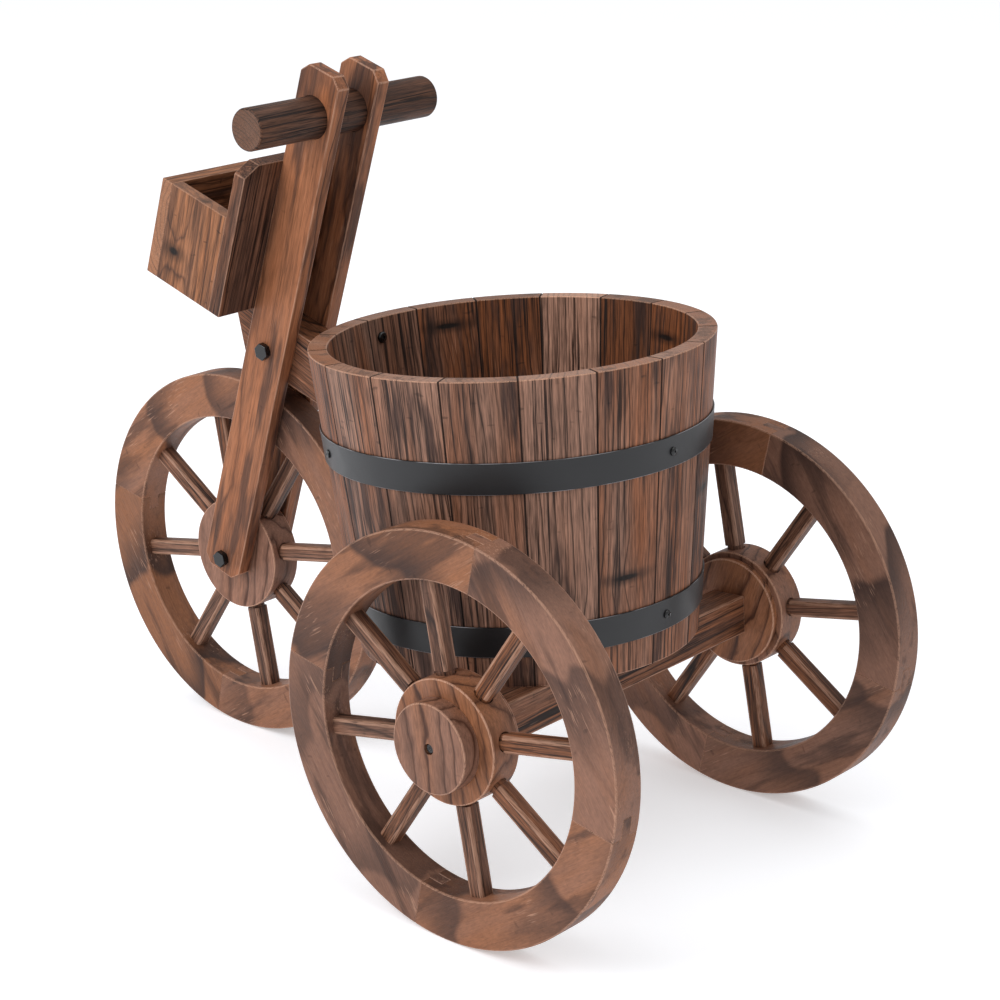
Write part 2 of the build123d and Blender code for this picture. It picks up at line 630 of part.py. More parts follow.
def build_box_board(name, plane, width, height, thickness):
    """Plain board of the box, standing on the plane's x axis and centred on its y axis."""
    with BuildPart() as board:
        with BuildSketch(plane):
            Rectangle(width, height, align=(Align.CENTER, Align.MIN))
        extrude(amount=thickness)
        chamfer(board.edges(), BOX_EASE)
    board.part.label = name
    export_step(board.part, f"parts/{name}.step")


# ---- build everything ------------------------------------------------------------------
os.makedirs("parts", exist_ok=True)

WHEELS = (
    ("front_wheel", 0.0, FRONT_Y, BOLT_DIAMETER),
    ("left_wheel", -TRACK / 2, REAR_Y, AXLE_SCREW_DIAMETER),
    ("right_wheel", TRACK / 2, REAR_Y, AXLE_SCREW_DIAMETER),
)
for wheel, wheel_x, wheel_y, axle_diameter in WHEELS:
    for index in range(FELLOES):
        build_felloe(wheel, wheel_x, wheel_y, index)
    build_spokes(wheel, wheel_x, wheel_y)
    build_hub(wheel, wheel_x, wheel_y, axle_diameter)
for wheel, side in (("left_wheel", -1), ("right_wheel", 1)):
    build_hub_collar(wheel, side)
    build_hub_cap(wheel, side)
build_axle_beam()
build_axle_screws()

for index in range(STAVES):
    build_stave(index)
build_barrel_bottom()
build_hoop("upper_hoop", UPPER_HOOP_DROP)
build_hoop("lower_hoop", LOWER_HOOP_DROP)
build_hoop_screws()

build_blade("left_fork_blade", -1)
build_blade("right_fork_blade", 1)
build_handlebar()
build_neck()
build_cross_bolt("front_axle_bolt", 0.0)
build_cross_bolt("neck_bolt", NECK_HEIGHT)
build_lock_nuts()
build_hub_washers()
build_wood_screws()

build_box_back()
front_plane = box_plane(BOX_DEPTH - BOX_BOARD)
build_box_board("box_front", front_plane, BOX_WIDTH, BOX_HEIGHT, BOX_BOARD)
for name, side in (("box_left", -1), ("box_right", 1)):
    wall_plane = box_plane(BOX_BOARD + GLUE_LINE, 0, side * (BOX_WIDTH - BOX_BOARD) / 2)
    build_box_board(name, wall_plane, BOX_BOARD, BOX_HEIGHT, BOX_WALL_LENGTH)
floor_width = BOX_WIDTH - 2 * BOX_BOARD - 2 * GLUE_LINE
floor_plane = box_plane(BOX_BOARD + GLUE_LINE)
build_box_board("box_floor", floor_plane, floor_width, BOX_BOARD, BOX_WALL_LENGTH)
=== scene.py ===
"""Wooden tricycle planter: a hooped stave barrel on three spoked wheels, with a raked fork,
a handlebar and a small open box.  Metres, x to the right, y forward, z up."""

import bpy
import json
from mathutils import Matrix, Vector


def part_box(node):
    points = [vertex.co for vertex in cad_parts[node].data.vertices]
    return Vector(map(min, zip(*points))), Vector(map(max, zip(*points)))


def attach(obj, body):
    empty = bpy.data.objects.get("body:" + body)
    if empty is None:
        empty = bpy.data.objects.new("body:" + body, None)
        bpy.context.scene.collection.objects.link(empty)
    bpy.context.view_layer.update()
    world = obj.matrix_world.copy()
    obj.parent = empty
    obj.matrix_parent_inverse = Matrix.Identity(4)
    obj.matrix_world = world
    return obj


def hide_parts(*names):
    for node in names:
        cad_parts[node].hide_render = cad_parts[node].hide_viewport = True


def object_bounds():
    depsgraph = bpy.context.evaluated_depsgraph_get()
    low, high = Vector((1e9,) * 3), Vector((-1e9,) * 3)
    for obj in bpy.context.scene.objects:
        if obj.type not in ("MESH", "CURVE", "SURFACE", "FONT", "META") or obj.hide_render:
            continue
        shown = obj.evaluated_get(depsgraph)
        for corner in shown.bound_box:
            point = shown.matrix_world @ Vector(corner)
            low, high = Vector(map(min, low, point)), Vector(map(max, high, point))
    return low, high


bl_info = {
    "name": "Wooden tricycle planter",
    "version": (1, 0, 0),
    "blender": (4, 5, 0),
    "location": "View3D > Sidebar > Planter",
    "description": "Builds a hooped barrel planter on three spoked wooden wheels",
    "category": "Add Mesh",
}

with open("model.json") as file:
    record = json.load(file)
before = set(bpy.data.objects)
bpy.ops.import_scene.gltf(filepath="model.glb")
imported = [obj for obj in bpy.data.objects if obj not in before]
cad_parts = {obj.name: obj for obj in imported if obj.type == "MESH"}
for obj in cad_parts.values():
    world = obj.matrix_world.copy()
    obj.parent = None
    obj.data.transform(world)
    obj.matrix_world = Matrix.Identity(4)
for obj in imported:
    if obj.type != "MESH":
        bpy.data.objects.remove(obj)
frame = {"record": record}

import json
import random
from math import atan2, cos, hypot, pi, radians, sin, tau

import bmesh
import bpy
from bpy.props import FloatProperty, FloatVectorProperty, IntProperty
from mathutils import Matrix, Vector

CAD_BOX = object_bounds()

# ---- places read from the frame --------------------------------------------------------
RIGHT = Vector((1, 0, 0))
MOUNTS = {mount["name"]: mount for mount in frame["record"]["mounts"]}
BODY_OF = {}
for body_name, nodes_of_body in frame["record"]["behaviour"]["bodies"].items():
    for node_name in nodes_of_body:
        BODY_OF[node_name] = body_name

WHEELS = ("front_wheel", "left_wheel", "right_wheel")
REAR_SIDES = {"left_wheel": -1, "right_wheel": 1}


def middle(node):
    """Middle of a node's box."""
    low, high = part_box(node)
    return (Vector(low) + Vector(high)) / 2


def span(node):
    """Size of a node's box."""
    low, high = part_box(node)
    return Vector(high) - Vector(low)


def local_frame(origin, up):
    """Matrix of a frame with x to the right and z along up."""
    turn = Matrix((RIGHT, up.cross(RIGHT), up)).transposed()
    return Matrix.Translation(origin) @ turn.to_4x4()


FORK_UP = Vector(MOUNTS["box_floor"]["axis"])
BARREL_UP = Vector(MOUNTS["barrel_floor"]["axis"])
BARREL_FLOOR = Vector(MOUNTS["barrel_floor"]["pos_m"])
FRONT_AXLE = middle("front_wheel_hub")
REAR_AXLE = (middle("left_wheel_hub") + middle("right_wheel_hub")) / 2
FORK = local_frame(FRONT_AXLE, FORK_UP)
BEAM = local_frame(REAR_AXLE, BARREL_UP)
BOX_FLOOR = FORK.inverted() @ Vector(MOUNTS["box_floor"]["pos_m"])
WHEEL_RADIUS = FRONT_AXLE.z
HUB_WIDTH = span("front_wheel_hub").x
HUB_RADIUS = span("front_wheel_hub").y / 2


# ---- sizes and colours that a user may change ------------------------------------------
def size(name, description, default):
    """A length in metres."""
    return FloatProperty(
        name=name, description=description, default=default, min=0, precision=4, unit="LENGTH"
    )


def angle(name, description, default):
    """An angle, given in degrees and kept in radians."""
    return FloatProperty(
        name=name, description=description, default=radians(default), unit="ROTATION"
    )


def count(name, description, default):
    """A number of pieces."""
    return IntProperty(name=name, description=description, default=default, min=1)


def amount(name, description, default):
    """A share or strength."""
    return FloatProperty(name=name, description=description, default=default, min=0)


def paint(name, description, red, green, blue):
    """A colour, given as 0 to 255 display values and kept as linear light."""
    linear = []
    for part in (red, green, blue):
        share = part / 255
        dark = share <= 0.04045
        linear.append(share / 12.92 if dark else ((share + 0.055) / 1.055) ** 2.4)
    return FloatVectorProperty(
        name=name, description=description, default=linear, size=3, min=0, max=1, subtype="COLOR"
    )


class WheelSizes(bpy.types.PropertyGroup):
    """Sizes of the three wheels."""

    rim_depth: size("Rim depth", "From the tread to the inside of the rim", 0.038)
    rim_ease: size("Rim edge", "Rounding along the rim's edges", 0.0013)
    felloes: count("Felloes", "Sawn pieces in each rim", 4)
    felloe_start: angle("Felloe start", "First rim joint, from straight ahead upwards", 11)
    tongue_length: size("Tongue length", "Length of a felloe's tongue along the tread", 0.016)
    joint_ease: size("Joint edge", "Rounding at the joints of the rim", 0.0005)
    spokes: count("Spokes", "Spokes in each wheel", 8)
    spoke_start: angle("Spoke start", "First spoke, from straight ahead upwards", 33.5)
    spoke_side: size("Spoke side", "Side of a square spoke", 0.0135)
    spoke_ease: size("Spoke edge", "Rounding along a spoke", 0.0026)
    foot_diameter: size("Foot diameter", "Turned foot of a spoke", 0.0136)
    foot_depth: size("Foot depth", "How deep a foot stands in the hub", 0.013)
    foot_show: size("Foot shown", "Turned length outside the hub", 0.003)
    socket_gap: size("Socket gap", "Gap round a foot in its hole", 0.0007)
    hub_ease: size("Hub edge", "Rounding of the hub's edges", 0.0011)
    front_bore: size("Front bore", "Diameter of the front hub's bore", 0.0082)
    rear_bore: size("Rear bore", "Diameter of a rear hub's bore", 0.0062)
    cap_pocket_diameter: size("Pocket diameter", "Pocket for the screw head", 0.0086)
    cap_pocket_depth: size("Pocket depth", "Depth of the pocket in the cap", 0.0055)


class BarrelSizes(bpy.types.PropertyGroup):
    """Sizes of the barrel and its hoops."""

    height: size("Height", "Height of the staves", 0.24)
    top_diameter: size("Top diameter", "Outside, across the rim", 0.316)
    bottom_diameter: size("Bottom diameter", "Outside, across the foot", 0.2684)
    staves: count("Staves", "Staves round the barrel", 17)
    stave_start: angle("Stave start", "First stave joint, from the right-hand side", 10.6)
    stave_thickness: size("Stave thickness", "Thickness of the wall", 0.015)
    stave_ease: size("Stave edge", "Rounding at the joints between staves", 0.0008)
    glue_line: size("Glue line", "Gap between neighbouring staves", 0.00012)
    bottom_thickness: size("Bottom thickness", "Thickness of the bottom planks", 0.012)
    planks: count("Bottom planks", "Planks in the bottom", 3)
    hoop_width: size("Hoop width", "Width of the steel bands", 0.0245)
    hoop_thickness: size("Hoop thickness", "Thickness of the steel bands", 0.0015)
    upper_hoop_drop: size("Upper hoop", "Middle of the upper hoop below the rim", 0.0738)
    lower_hoop_drop: size("Lower hoop", "Middle of the lower hoop below the rim", 0.203)
    hoop_screws: count("Hoop screws", "Screws through each hoop", 3)
    screw_head_diameter: size("Screw head", "Head of a hoop screw", 0.0068)
    screw_head_height: size("Head height", "Height of a hoop screw's head", 0.0018)


class ForkSizes(bpy.types.PropertyGroup):
    """Sizes of the fork, the neck and the handlebar."""

    blade_width: size("Blade width", "Width of a fork plank", 0.043)
    blade_thickness: size("Blade thickness", "Thickness of a fork plank", 0.013)
    blade_gap: size("Blade gap", "Clear space between the blades", 0.032)
    below_axle: size("Below axle", "Blade length below the axle", 0.013)
    above_axle: size("Above axle", "Blade length above the axle", 0.457)
    corner: size("Corner", "Cut across each corner of a blade", 0.008)
    edge: size("Edge", "Rounding of the planks' edges", 0.001)
    handlebar_edge: size("Handlebar edge", "Rounding at the handlebar's ends", 0.0015)
    handlebar_height: size("Handlebar height", "Along the fork, above the axle", 0.417)
    handlebar_gap: size("Handlebar gap", "Gap round the handlebar in the blades", 0.0005)
    neck_height: size("Neck height", "Middle of the neck along the fork", 0.206)
    neck_depth: size("Neck depth", "Depth of the neck block", 0.048)
    nose_top: size("Nose top", "Upper end of the nose ahead of the fork", 0.06)
    nose_bottom: size("Nose bottom", "Lower end of the nose ahead of the fork", 0.031)
    heel_drop: size("Heel drop", "Heel of the neck below the barrel's rim", 0.007)
    throat: size("Throat", "Where the neck's top starts to rise", 0.04)
    beam_side: size("Beam side", "Side of the axle beam", 0.032)
    beam_edge: size("Beam edge", "Rounding along the axle beam", 0.0015)


class BoxSizes(bpy.types.PropertyGroup):
    """Sizes of the open box on the fork."""

    width: size("Width", "Across the box", 0.137)
    depth: size("Depth", "From back board to front board, outside", 0.0895)
    height: size("Height", "Height of the walls", 0.0855)
    back_height: size("Back height", "Height of the back board", 0.135)
    clip_across: size("Clip across", "Clipped corner of the back board, across", 0.0135)
    clip_down: size("Clip down", "Clipped corner of the back board, down", 0.01)
    board: size("Board", "Thickness of the boards", 0.012)
    edge: size("Edge", "Rounding of the boards' edges", 0.0007)


class HardwareSizes(bpy.types.PropertyGroup):
    """Sizes of bolts, nuts, washers and screws."""

    bolt_diameter: size("Bolt diameter", "Cross bolts of the fork", 0.008)
    head_flats: size("Head flats", "Across the flats of a hexagon head", 0.013)
    head_height: size("Head height", "Height of a bolt's head", 0.0053)
    head_ease: size("Head edge", "Rounding of heads and nuts", 0.0006)
    nut_height: size("Nut height", "Height of a nut", 0.0065)
    bolt_tail: size("Bolt tail", "Bolt end that stands out of its nut", 0.002)
    washer_diameter: size("Washer diameter", "Washers beside the front hub", 0.024)
    end_play: size("End play", "Sideways play of a wheel", 0.0004)
    axle_screw_diameter: size("Axle screw", "Diameter of the axle screws", 0.006)
    axle_head_diameter: size("Axle screw head", "Diameter of the axle screws' heads", 0.0078)
    axle_head_height: size("Axle head height", "Height of the axle screws' heads", 0.0035)
    wood_screw_head: size("Wood screw head", "Diameter of the long screws' heads", 0.009)
    wood_screw_height: size("Wood screw height", "Height of the long screws' heads", 0.0026)
    wood_screw_length: size("Wood screw length", "Below the head", 0.038)
    wood_screw_shank: size("Wood screw shank", "Diameter of the long screws", 0.0045)
    box_screw_low: size("Lower box screws", "Above the foot of the back board", 0.024)
    box_screw_high: size("Upper box screws", "Above the foot of the back board", 0.066)
    neck_screw_high: size("Upper neck screw", "Below the barrel's rim", 0.016)
    neck_screw_low: size("Lower neck screw", "Below the barrel's rim", 0.054)


class Finish(bpy.types.PropertyGroup):
    """Colours of the stained and scorched fir and of the steel."""

    rim_pale: paint("Rim, pale", "Greyer early wood of rims and hubs", 134, 97, 80)
    rim_warm: paint("Rim, warm", "Warmer early wood of rims and hubs", 142, 93, 64)
    rim_deep: paint("Rim, deep", "Late wood of rims and hubs", 70, 42, 30)
    stave_grey: paint("Stave, grey", "Early wood of the greyer staves", 140, 105, 88)
    stave_warm: paint("Stave, warm", "Early wood of the warmer staves", 128, 75, 44)
    stave_deep: paint("Stave, deep", "Late wood of the staves", 40, 24, 17)
    fork_pale: paint("Fork, pale", "Early wood of the fork", 146, 95, 66)
    fork_warm: paint("Fork, warm", "Warmer early wood of the fork", 140, 84, 52)
    fork_deep: paint("Fork, deep", "Late wood of the fork", 66, 39, 26)
    box_pale: paint("Box, pale", "Early wood of the box", 150, 103, 74)
    box_warm: paint("Box, warm", "Warmer early wood of the box", 138, 88, 56)
    box_deep: paint("Box, deep", "Late wood of the box", 66, 39, 26)
    dark_pale: paint("Scorched, pale", "Greyer early wood of scorched pieces", 122, 87, 70)
    dark_warm: paint("Scorched, warm", "Warmer early wood of scorched pieces", 122, 75, 48)
    dark_deep: paint("Scorched, deep", "Late wood of the scorched pieces", 34, 21, 16)
    char: paint("Char", "Where the flame has darkened the wood", 60, 43, 38)
    heart: paint("Knot", "Heart of a knot", 26, 18, 15)
    # Pale colour of rounded edges and scuffs: partly sanding wear, partly a painted highlight on
    # the edges.
    edge: paint("Edge", "Edges rubbed pale by sanding", 184, 142, 118)
    steel: paint("Steel", "Black enamel of the hoops", 24, 24, 26)
    # Pale steel on rounded edges: partly wear, partly a painted highlight.
    bare: paint("Bare steel", "Edges rubbed to the metal", 170, 168, 172)
    bolt: paint("Bolt", "Black bolts and screws", 15, 15, 16)


class StageSizes(bpy.types.PropertyGroup):
    """Floor, light and camera."""

    floor: size("Floor", "Side of the floor", 60.0)
    camera_place: FloatVectorProperty(
        name="Camera place",
        description="Where the camera stands",
        default=(-1.4449, -1.3491, 0.9225),
        subtype="TRANSLATION",
        unit="LENGTH",
    )
    camera_turn: FloatVectorProperty(
        name="Camera turn",
        description="How the camera is turned",
        default=(radians(71.23), 0, radians(-48.94)),
        subtype="EULER",
    )
    lens: amount("Lens", "Focal length in millimetres", 92.16)
    daylight: amount("Daylight", "Strength of the even white surroundings", 0.72)
    glow: amount("Glow", "Light that the white floor gives off", 0.34)
    key: amount("Key", "Power of the large light on the left, in watts", 48)
    fill: amount("Fill", "Power of the large light above, in watts", 20)


# ---- shader values ---------------------------------------------------------------------
class Shade:
    """A value, vector or colour in a material; sums on it add Math nodes."""

    def __init__(self, tree, socket=None):
        self.tree = tree
        self.socket = socket

    def node(self, kind, settings=(), inputs=(), output=0):
        """Adds any node: its settings first, then the values or links of its sockets."""
        node = self.tree.nodes.new(kind)
        for key, value in dict(settings).items():
            if key == "stops":
                stops = node.color_ramp.elements
                while len(stops) < len(value):
                    stops.new(0.5)
                for stop, (place, level) in zip(stops, value):
                    stop.position = place
                    stop.color = (level, level, level, 1)
            else:
                setattr(node, key, value)
        for key, value in dict(inputs).items():
            if isinstance(value, Shade):
                self.tree.links.new(value.socket, node.inputs[key])
            else:
                node.inputs[key].default_value = value
        return Shade(self.tree, node.outputs[output] if len(node.outputs) else None)

    def math(self, operation, *values):
        """A Math node on these values."""
        return self.node("ShaderNodeMath", {"operation": operation}, dict(enumerate(values)))

    def __add__(self, other):
        return self.math("ADD", self, other)

    def __radd__(self, other):
        return self.math("ADD", other, self)

    def __sub__(self, other):
        return self.math("SUBTRACT", self, other)

    def __rsub__(self, other):
        return self.math("SUBTRACT", other, self)

    def __mul__(self, other):
        return self.math("MULTIPLY", self, other)

    def __rmul__(self, other):
        return self.math("MULTIPLY", other, self)

    def __truediv__(self, other):
        return self.math("DIVIDE", self, other)

    def fraction(self):
        """The part after the point."""
        return self.math("FRACT", self)

    def whole(self):
        """The part before the point."""
        return self.math("FLOOR", self)

    def root(self):
        """Square root."""
        return self.math("SQRT", self)

    def rise(self, start, end):
        """0 below start, 1 above end, and smooth between them."""
        settings = {"interpolation_type": "SMOOTHSTEP"}
        return self.node("ShaderNodeMapRange", settings, {0: self, 1: start, 2: end})

    def stretched(self, scale):
        """A vector times a scale for each axis."""
        settings = {"operation": "MULTIPLY"}
        return self.node("ShaderNodeVectorMath", settings, {0: self, 1: scale})

    def length(self):
        """Length of a vector."""
        return self.node("ShaderNodeVectorMath", {"operation": "LENGTH"}, {0: self}, "Value")

    def parts(self):
        """The three parts of a vector."""
        return [self.node("ShaderNodeSeparateXYZ", (), {0: self}, part) for part in range(3)]

    def noise(self, scale, detail, roughness=0.5):
        """Smooth noise on a vector, about 0.5."""
        inputs = {"Vector": self.stretched(scale), "Scale": 1.0, "Detail": detail}
        inputs["Roughness"] = roughness
        return self.node("ShaderNodeTexNoise", (), inputs)

    def blend(self, other, share):
        """This colour mixed with another by a share."""
        inputs = {0: share, 6: self, 7: other}
        return self.node("ShaderNodeMix", {"data_type": "RGBA"}, inputs, 2)

    def tinted(self, level):
        """This colour made lighter or darker by a level about 1."""
        settings = {"operation": "SCALE"}
        return self.node("ShaderNodeVectorMath", settings, {0: self, "Scale": level})


def colour_value(graph, colour):
    """A plain colour that can be mixed with others."""
    whole = (*colour, 1)
    return graph.node("ShaderNodeMix", {"data_type": "RGBA"}, {0: 0.0, 6: whole, 7: whole}, 2)


def new_graph(name):
    """An empty material, and the value that its nodes hang on."""
    material = bpy.data.materials.new(name)
    material.use_nodes = True
    material.node_tree.nodes.clear()
    return material, Shade(material.node_tree)


def close_graph(graph, inputs):
    """Gives a material its surface."""
    surface = graph.node("ShaderNodeBsdfPrincipled", (), inputs)
    graph.node("ShaderNodeOutputMaterial", (), {"Surface": surface})


# How each wood looks.  Lengths in metres: ring spacing, how far rings wander, and the
# spacing of the smoke bands.  Short: how often a fibre ends, in each metre.  Shares: late
# wood, dark streaks, fibres, smoke bands, dark patches, flecks, scuffs, and pale edges that are
# partly wear and partly a painted highlight, and how a knot is drawn out along and across.
WOODS = {
    "rim_fir": {
        "pale": "rim_pale", "warm": "rim_warm", "deep": "rim_deep", "spacing": 0.019,
        "wander": 0.02, "wave": 0.3, "late": 0.35, "streak": 0.12, "fibre": 0.36, "short": 240,
        "band": 0.11, "smoke": 1.3, "patch": 0.6, "fleck": 0.35, "scuff": 0.5,
        "edge_wear_and_highlight": 0.5, "knot": (1, 1, 1),
    },
    "hub_fir": {
        "pale": "rim_warm", "warm": "rim_pale", "deep": "rim_deep", "spacing": 0.0125,
        "wander": 0.014, "wave": 0.8, "late": 1.1, "streak": 0.15, "fibre": 0.5, "short": 60,
        "band": 0.2, "smoke": 0.2, "patch": 0.3, "fleck": 0.2, "scuff": 0.15,
        "edge_wear_and_highlight": 0.7, "knot": (1, 1, 1),
    },
    "stave_fir": {
        "pale": "stave_grey", "warm": "stave_warm", "deep": "stave_deep", "spacing": 0.0047,
        "wander": 0.006, "wave": 0.4, "late": 0.95, "streak": 1.0, "fibre": 1.15, "short": 14,
        "band": 0.3, "smoke": 0.3, "patch": 0.85, "fleck": 0.45, "scuff": 0.15,
        "edge_wear_and_highlight": 0.75, "knot": (2.4, 0.5, 0.4),
    },
    "fork_fir": {
        "pale": "fork_pale", "warm": "fork_warm", "deep": "fork_deep", "spacing": 0.0105,
        "wander": 0.011, "wave": 0.6, "late": 0.95, "streak": 0.35, "fibre": 0.65, "short": 20,
        "band": 0.4, "smoke": 0.45, "patch": 0.75, "fleck": 0.2, "scuff": 0.15,
        "edge_wear_and_highlight": 0.5, "knot": (1, 1, 1),
    },
    "box_fir": {
        "pale": "box_pale", "warm": "box_warm", "deep": "box_deep", "spacing": 0.0048,
        "wander": 0.007, "wave": 0.5, "late": 0.9, "streak": 0.85, "fibre": 1.0, "short": 20,
        "band": 0.2, "smoke": 0.25, "patch": 0.6, "fleck": 0.9, "scuff": 0.1,
        "edge_wear_and_highlight": 0.45, "knot": (1.6, 1, 0.5),
    },
    "scorched_fir": {
        "pale": "dark_pale", "warm": "dark_warm", "deep": "dark_deep", "spacing": 0.0031,
        "wander": 0.003, "wave": 0.3, "late": 1.0, "streak": 1.0, "fibre": 1.2, "short": 14,
        "band": 0.3, "smoke": 0.2, "patch": 0.5, "fleck": 0.3, "scuff": 0.2,
        "edge_wear_and_highlight": 0.6, "knot": (1, 1, 1),
    },
}
# Dark late wood towards the end of each year's ring: place in the ring, and how dark.
RING_SHADE = ((0.0, 0.45), (0.1, 0.04), (0.6, 0.14), (0.83, 0.6), (0.92, 1.0), (1.0, 0.5))
FAINTEST_RING = 0.35
# Noise in the wood: waves in each metre along, across and in depth, detail and roughness.
NOISES = {
    "slow": ((7, 26, 26), 2, 0.5),
    "wave": ((26, 70, 70), 2, 0.5),
    "hair": ((60, 1300, 1300), 2, 0.6),
    "region": ((7, 50, 50), 2, 0.5),
    "streak": ((7, 430, 430), 2, 0.55),
    "drift": ((7, 16, 16), 2, 0.4),
    "patch": ((8, 55, 55), 3, 0.6),
    "fleck": ((170, 75, 75), 1, 0.5),
    "scuff": ((55, 900, 900), 1, 0.5),
    "scuffed": ((21, 21, 21), 1, 0.5),
    "tone": ((5, 44, 44), 2, 0.5),
}
FIBRES_ACROSS = 480
FIBRE_CONTRAST = 1.9
# Reach of a knot and how far it pushes the rings aside, in metres.
KNOT_REACH = 0.016
KNOT_PUSH = 0.004
KNOT_SWELL = (0.7, 0.7, 0.4)
# How the smoke bands lean across a piece and wander along it.
BAND_LEAN = 5
BAND_WANDER = 1.7
JOINT_DIRT = 0.85
WOOD_GLOSS = 0.2
# Values of the attribute that marks rubbed faces: 1 on rounded edges, which are painted pale as
# wear and as a painted highlight, less on sawn ends, negative in joints.
END_RUB = 0.4
JOINT = -1.0


def wood_finish(name):
    """Stained fir: year rings round the pith, streaks, smoke, a knot, and edges painted pale,
    partly as wear and partly as a painted highlight.
    """
    if name in bpy.data.materials:
        return bpy.data.materials[name]
    look = WOODS[name]
    finish = bpy.context.scene.planter_finish
    material, graph = new_graph(name)

    def attribute(label, output="Vector"):
        settings = {"attribute_name": label}
        return graph.node("ShaderNodeAttribute", settings, (), output)

    def stain(label):
        return (*getattr(finish, look.get(label, label)), 1)

    def noise(label):
        return grain.noise(*NOISES[label])

    grain = attribute("grain")
    knot = attribute("knot")
    warmth, darkness, smoked = attribute("mood").parts()
    worn = attribute("worn", "Fac")
    sawn = 1 - worn.rise(END_RUB / 4, END_RUB)
    joint = (0 - worn).rise(0, 1)
    along, across, depth = grain.parts()

    reach = knot.stretched(look["knot"]).length() / KNOT_REACH
    swell = 1 - (knot.stretched(KNOT_SWELL).length() / KNOT_REACH).rise(0, 1.6)
    radius = (across * across + depth * depth).root()
    radius = radius + (noise("slow") - 0.5) * (2 * look["wander"])
    radius = radius + (noise("wave") - 0.5) * (look["wave"] * look["wander"])
    phase = (radius + swell * KNOT_PUSH) / look["spacing"]
    ring = graph.node("ShaderNodeValToRGB", {"stops": RING_SHADE}, {0: phase.fraction()})
    luck = graph.node("ShaderNodeTexWhiteNoise", {"noise_dimensions": "1D"},
                      {"W": phase.whole()})
    late = ring * (FAINTEST_RING + (1 - FAINTEST_RING) * luck)

    fibre = grain.noise((look["short"], FIBRES_ACROSS, FIBRES_ACROSS), 3, 0.65)
    hair = noise("hair")
    streak = noise("streak").rise(0.52, 0.62) * noise("region").rise(0.36, 0.62) * sawn
    bands = along / look["band"] + across * BAND_LEAN + (noise("drift") - 0.5) * BAND_WANDER
    fade = bands.fraction()
    smoke = fade.rise(0.0, 0.09) * (1 - fade.rise(0.05, 0.62))
    smoke = smoke * (smoked * 0.6 + 0.4) * look["smoke"]
    patch = (noise("patch") + smoked * 0.08).rise(0.54, 0.68) * look["patch"]
    fleck = noise("fleck").rise(0.7, 0.8) * look["fleck"]
    scuff = noise("scuff").rise(0.6, 0.7) * noise("scuffed").rise(0.55, 0.65) * look["scuff"]
    # Rounded edges painted pale: partly sanding wear, partly a painted highlight.
    rubbed_and_highlit = worn * look["edge_wear_and_highlight"] * hair.rise(0.3, 0.55)
    heart = 1 - reach.rise(0.18, 0.45)
    halo = (1 - reach.rise(0.3, 1.2)) * 0.6

    warm = (warmth + (noise("tone") - 0.5) * 1.6).rise(0.0, 1.0)
    colour = colour_value(graph, getattr(finish, look["pale"]))
    for label, share in (
        ("warm", warm),
        ("deep", (late * look["late"]).rise(0.0, 1.0)),
        ("deep", streak * look["streak"]),
        ("char", smoke),
        ("char", patch),
        ("heart", fleck),
        ("edge", scuff),
        ("edge", rubbed_and_highlit),
        ("heart", heart + halo * (1 - heart)),
    ):
        colour = colour.blend(stain(label), share)
    shown = (0.35 + 0.65 * sawn) * (FIBRE_CONTRAST * look["fibre"])
    level = 1 + (fibre - 0.5) * shown + (hair - 0.5) * shown
    colour = colour.tinted(level * (1 - darkness * 0.6))
    colour = colour.blend(stain("heart"), joint * JOINT_DIRT)

    height = late * -0.5 - streak * 0.5 + fibre * 0.6 + hair * 0.3 - heart * 0.3
    bump = {"Strength": 0.45, "Distance": 0.0006, "Height": height}
    close_graph(graph, {
        "Base Color": colour,
        "Roughness": 0.55 + (fibre - 0.5) * 0.4 - late * 0.1 - worn * 0.08 + patch * 0.1,
        "Specular IOR Level": WOOD_GLOSS,
        "Normal": graph.node("ShaderNodeBump", (), bump),
    })
    return material


# Roughness, and how far the edges are painted pale bare steel, partly as wear and partly as a
# painted highlight.
HOOP_SURFACE = (0.4, 0.7)
BOLT_SURFACE = (0.2, 0.1)


def steel_finish(name, colour, rough, rub_and_highlight):
    """Black steel, painted pale along its edges as wear and as a painted highlight, with faint
    specks and smears.
    """
    if name in bpy.data.materials:
        return bpy.data.materials[name]
    finish = bpy.context.scene.planter_finish
    material, graph = new_graph(name)
    place = graph.node("ShaderNodeTexCoord", (), (), "Object")
    worn = graph.node("ShaderNodeAttribute", {"attribute_name": "worn"}, (), "Fac")
    smear = place.noise((40, 40, 40), 3)
    speck = place.noise((1400, 1400, 1400), 2)
    body = colour_value(graph, colour).tinted(0.75 + smear * 0.5)
    # Rounded edges painted pale steel: partly wear, partly a painted highlight.
    body = body.blend((*finish.bare, 1), worn * smear.rise(0.35, 0.6) * rub_and_highlight)
    bump = {"Strength": 0.2, "Distance": 0.0002, "Height": speck + smear}
    close_graph(graph, {
        "Base Color": body,
        "Metallic": 0.1 + worn * 0.6,
        "Roughness": rough + (smear - 0.5) * 0.25 + (speck - 0.5) * 0.1,
        "Normal": graph.node("ShaderNodeBump", (), bump),
    })
    return material


# ---- meshes ----------------------------------------------------------------------------
FAR_AWAY = Vector((9, 9, 9))
# Angles between faces: shaded smooth below the first, an edge above the others.
SMOOTH_BELOW = radians(20)
EVERY_EDGE = radians(30)
SQUARE_EDGE = radians(60)
# Metres between corners that are one corner, and between lengths that count as equal.
SAME_SPOT = 1e-6
NEARLY = 1e-4
# How closely the normal of a sawn end follows the grain, as a cosine.
FACES_ALONG = 0.98
SPOKE_ROUNDING = 4
# Steps in a full turn of discs, the handlebar, its holes, the shape of the barrel that is
# cut from the neck, washers, screws with their holes, and the feet of the spokes.
DISC_STEPS = 96
BAR_STEPS = 72
BAR_HOLE_STEPS = 64
BARREL_STEPS = 192
WASHER_STEPS = 48
SCREW_STEPS = 32
FOOT_STEPS = 24
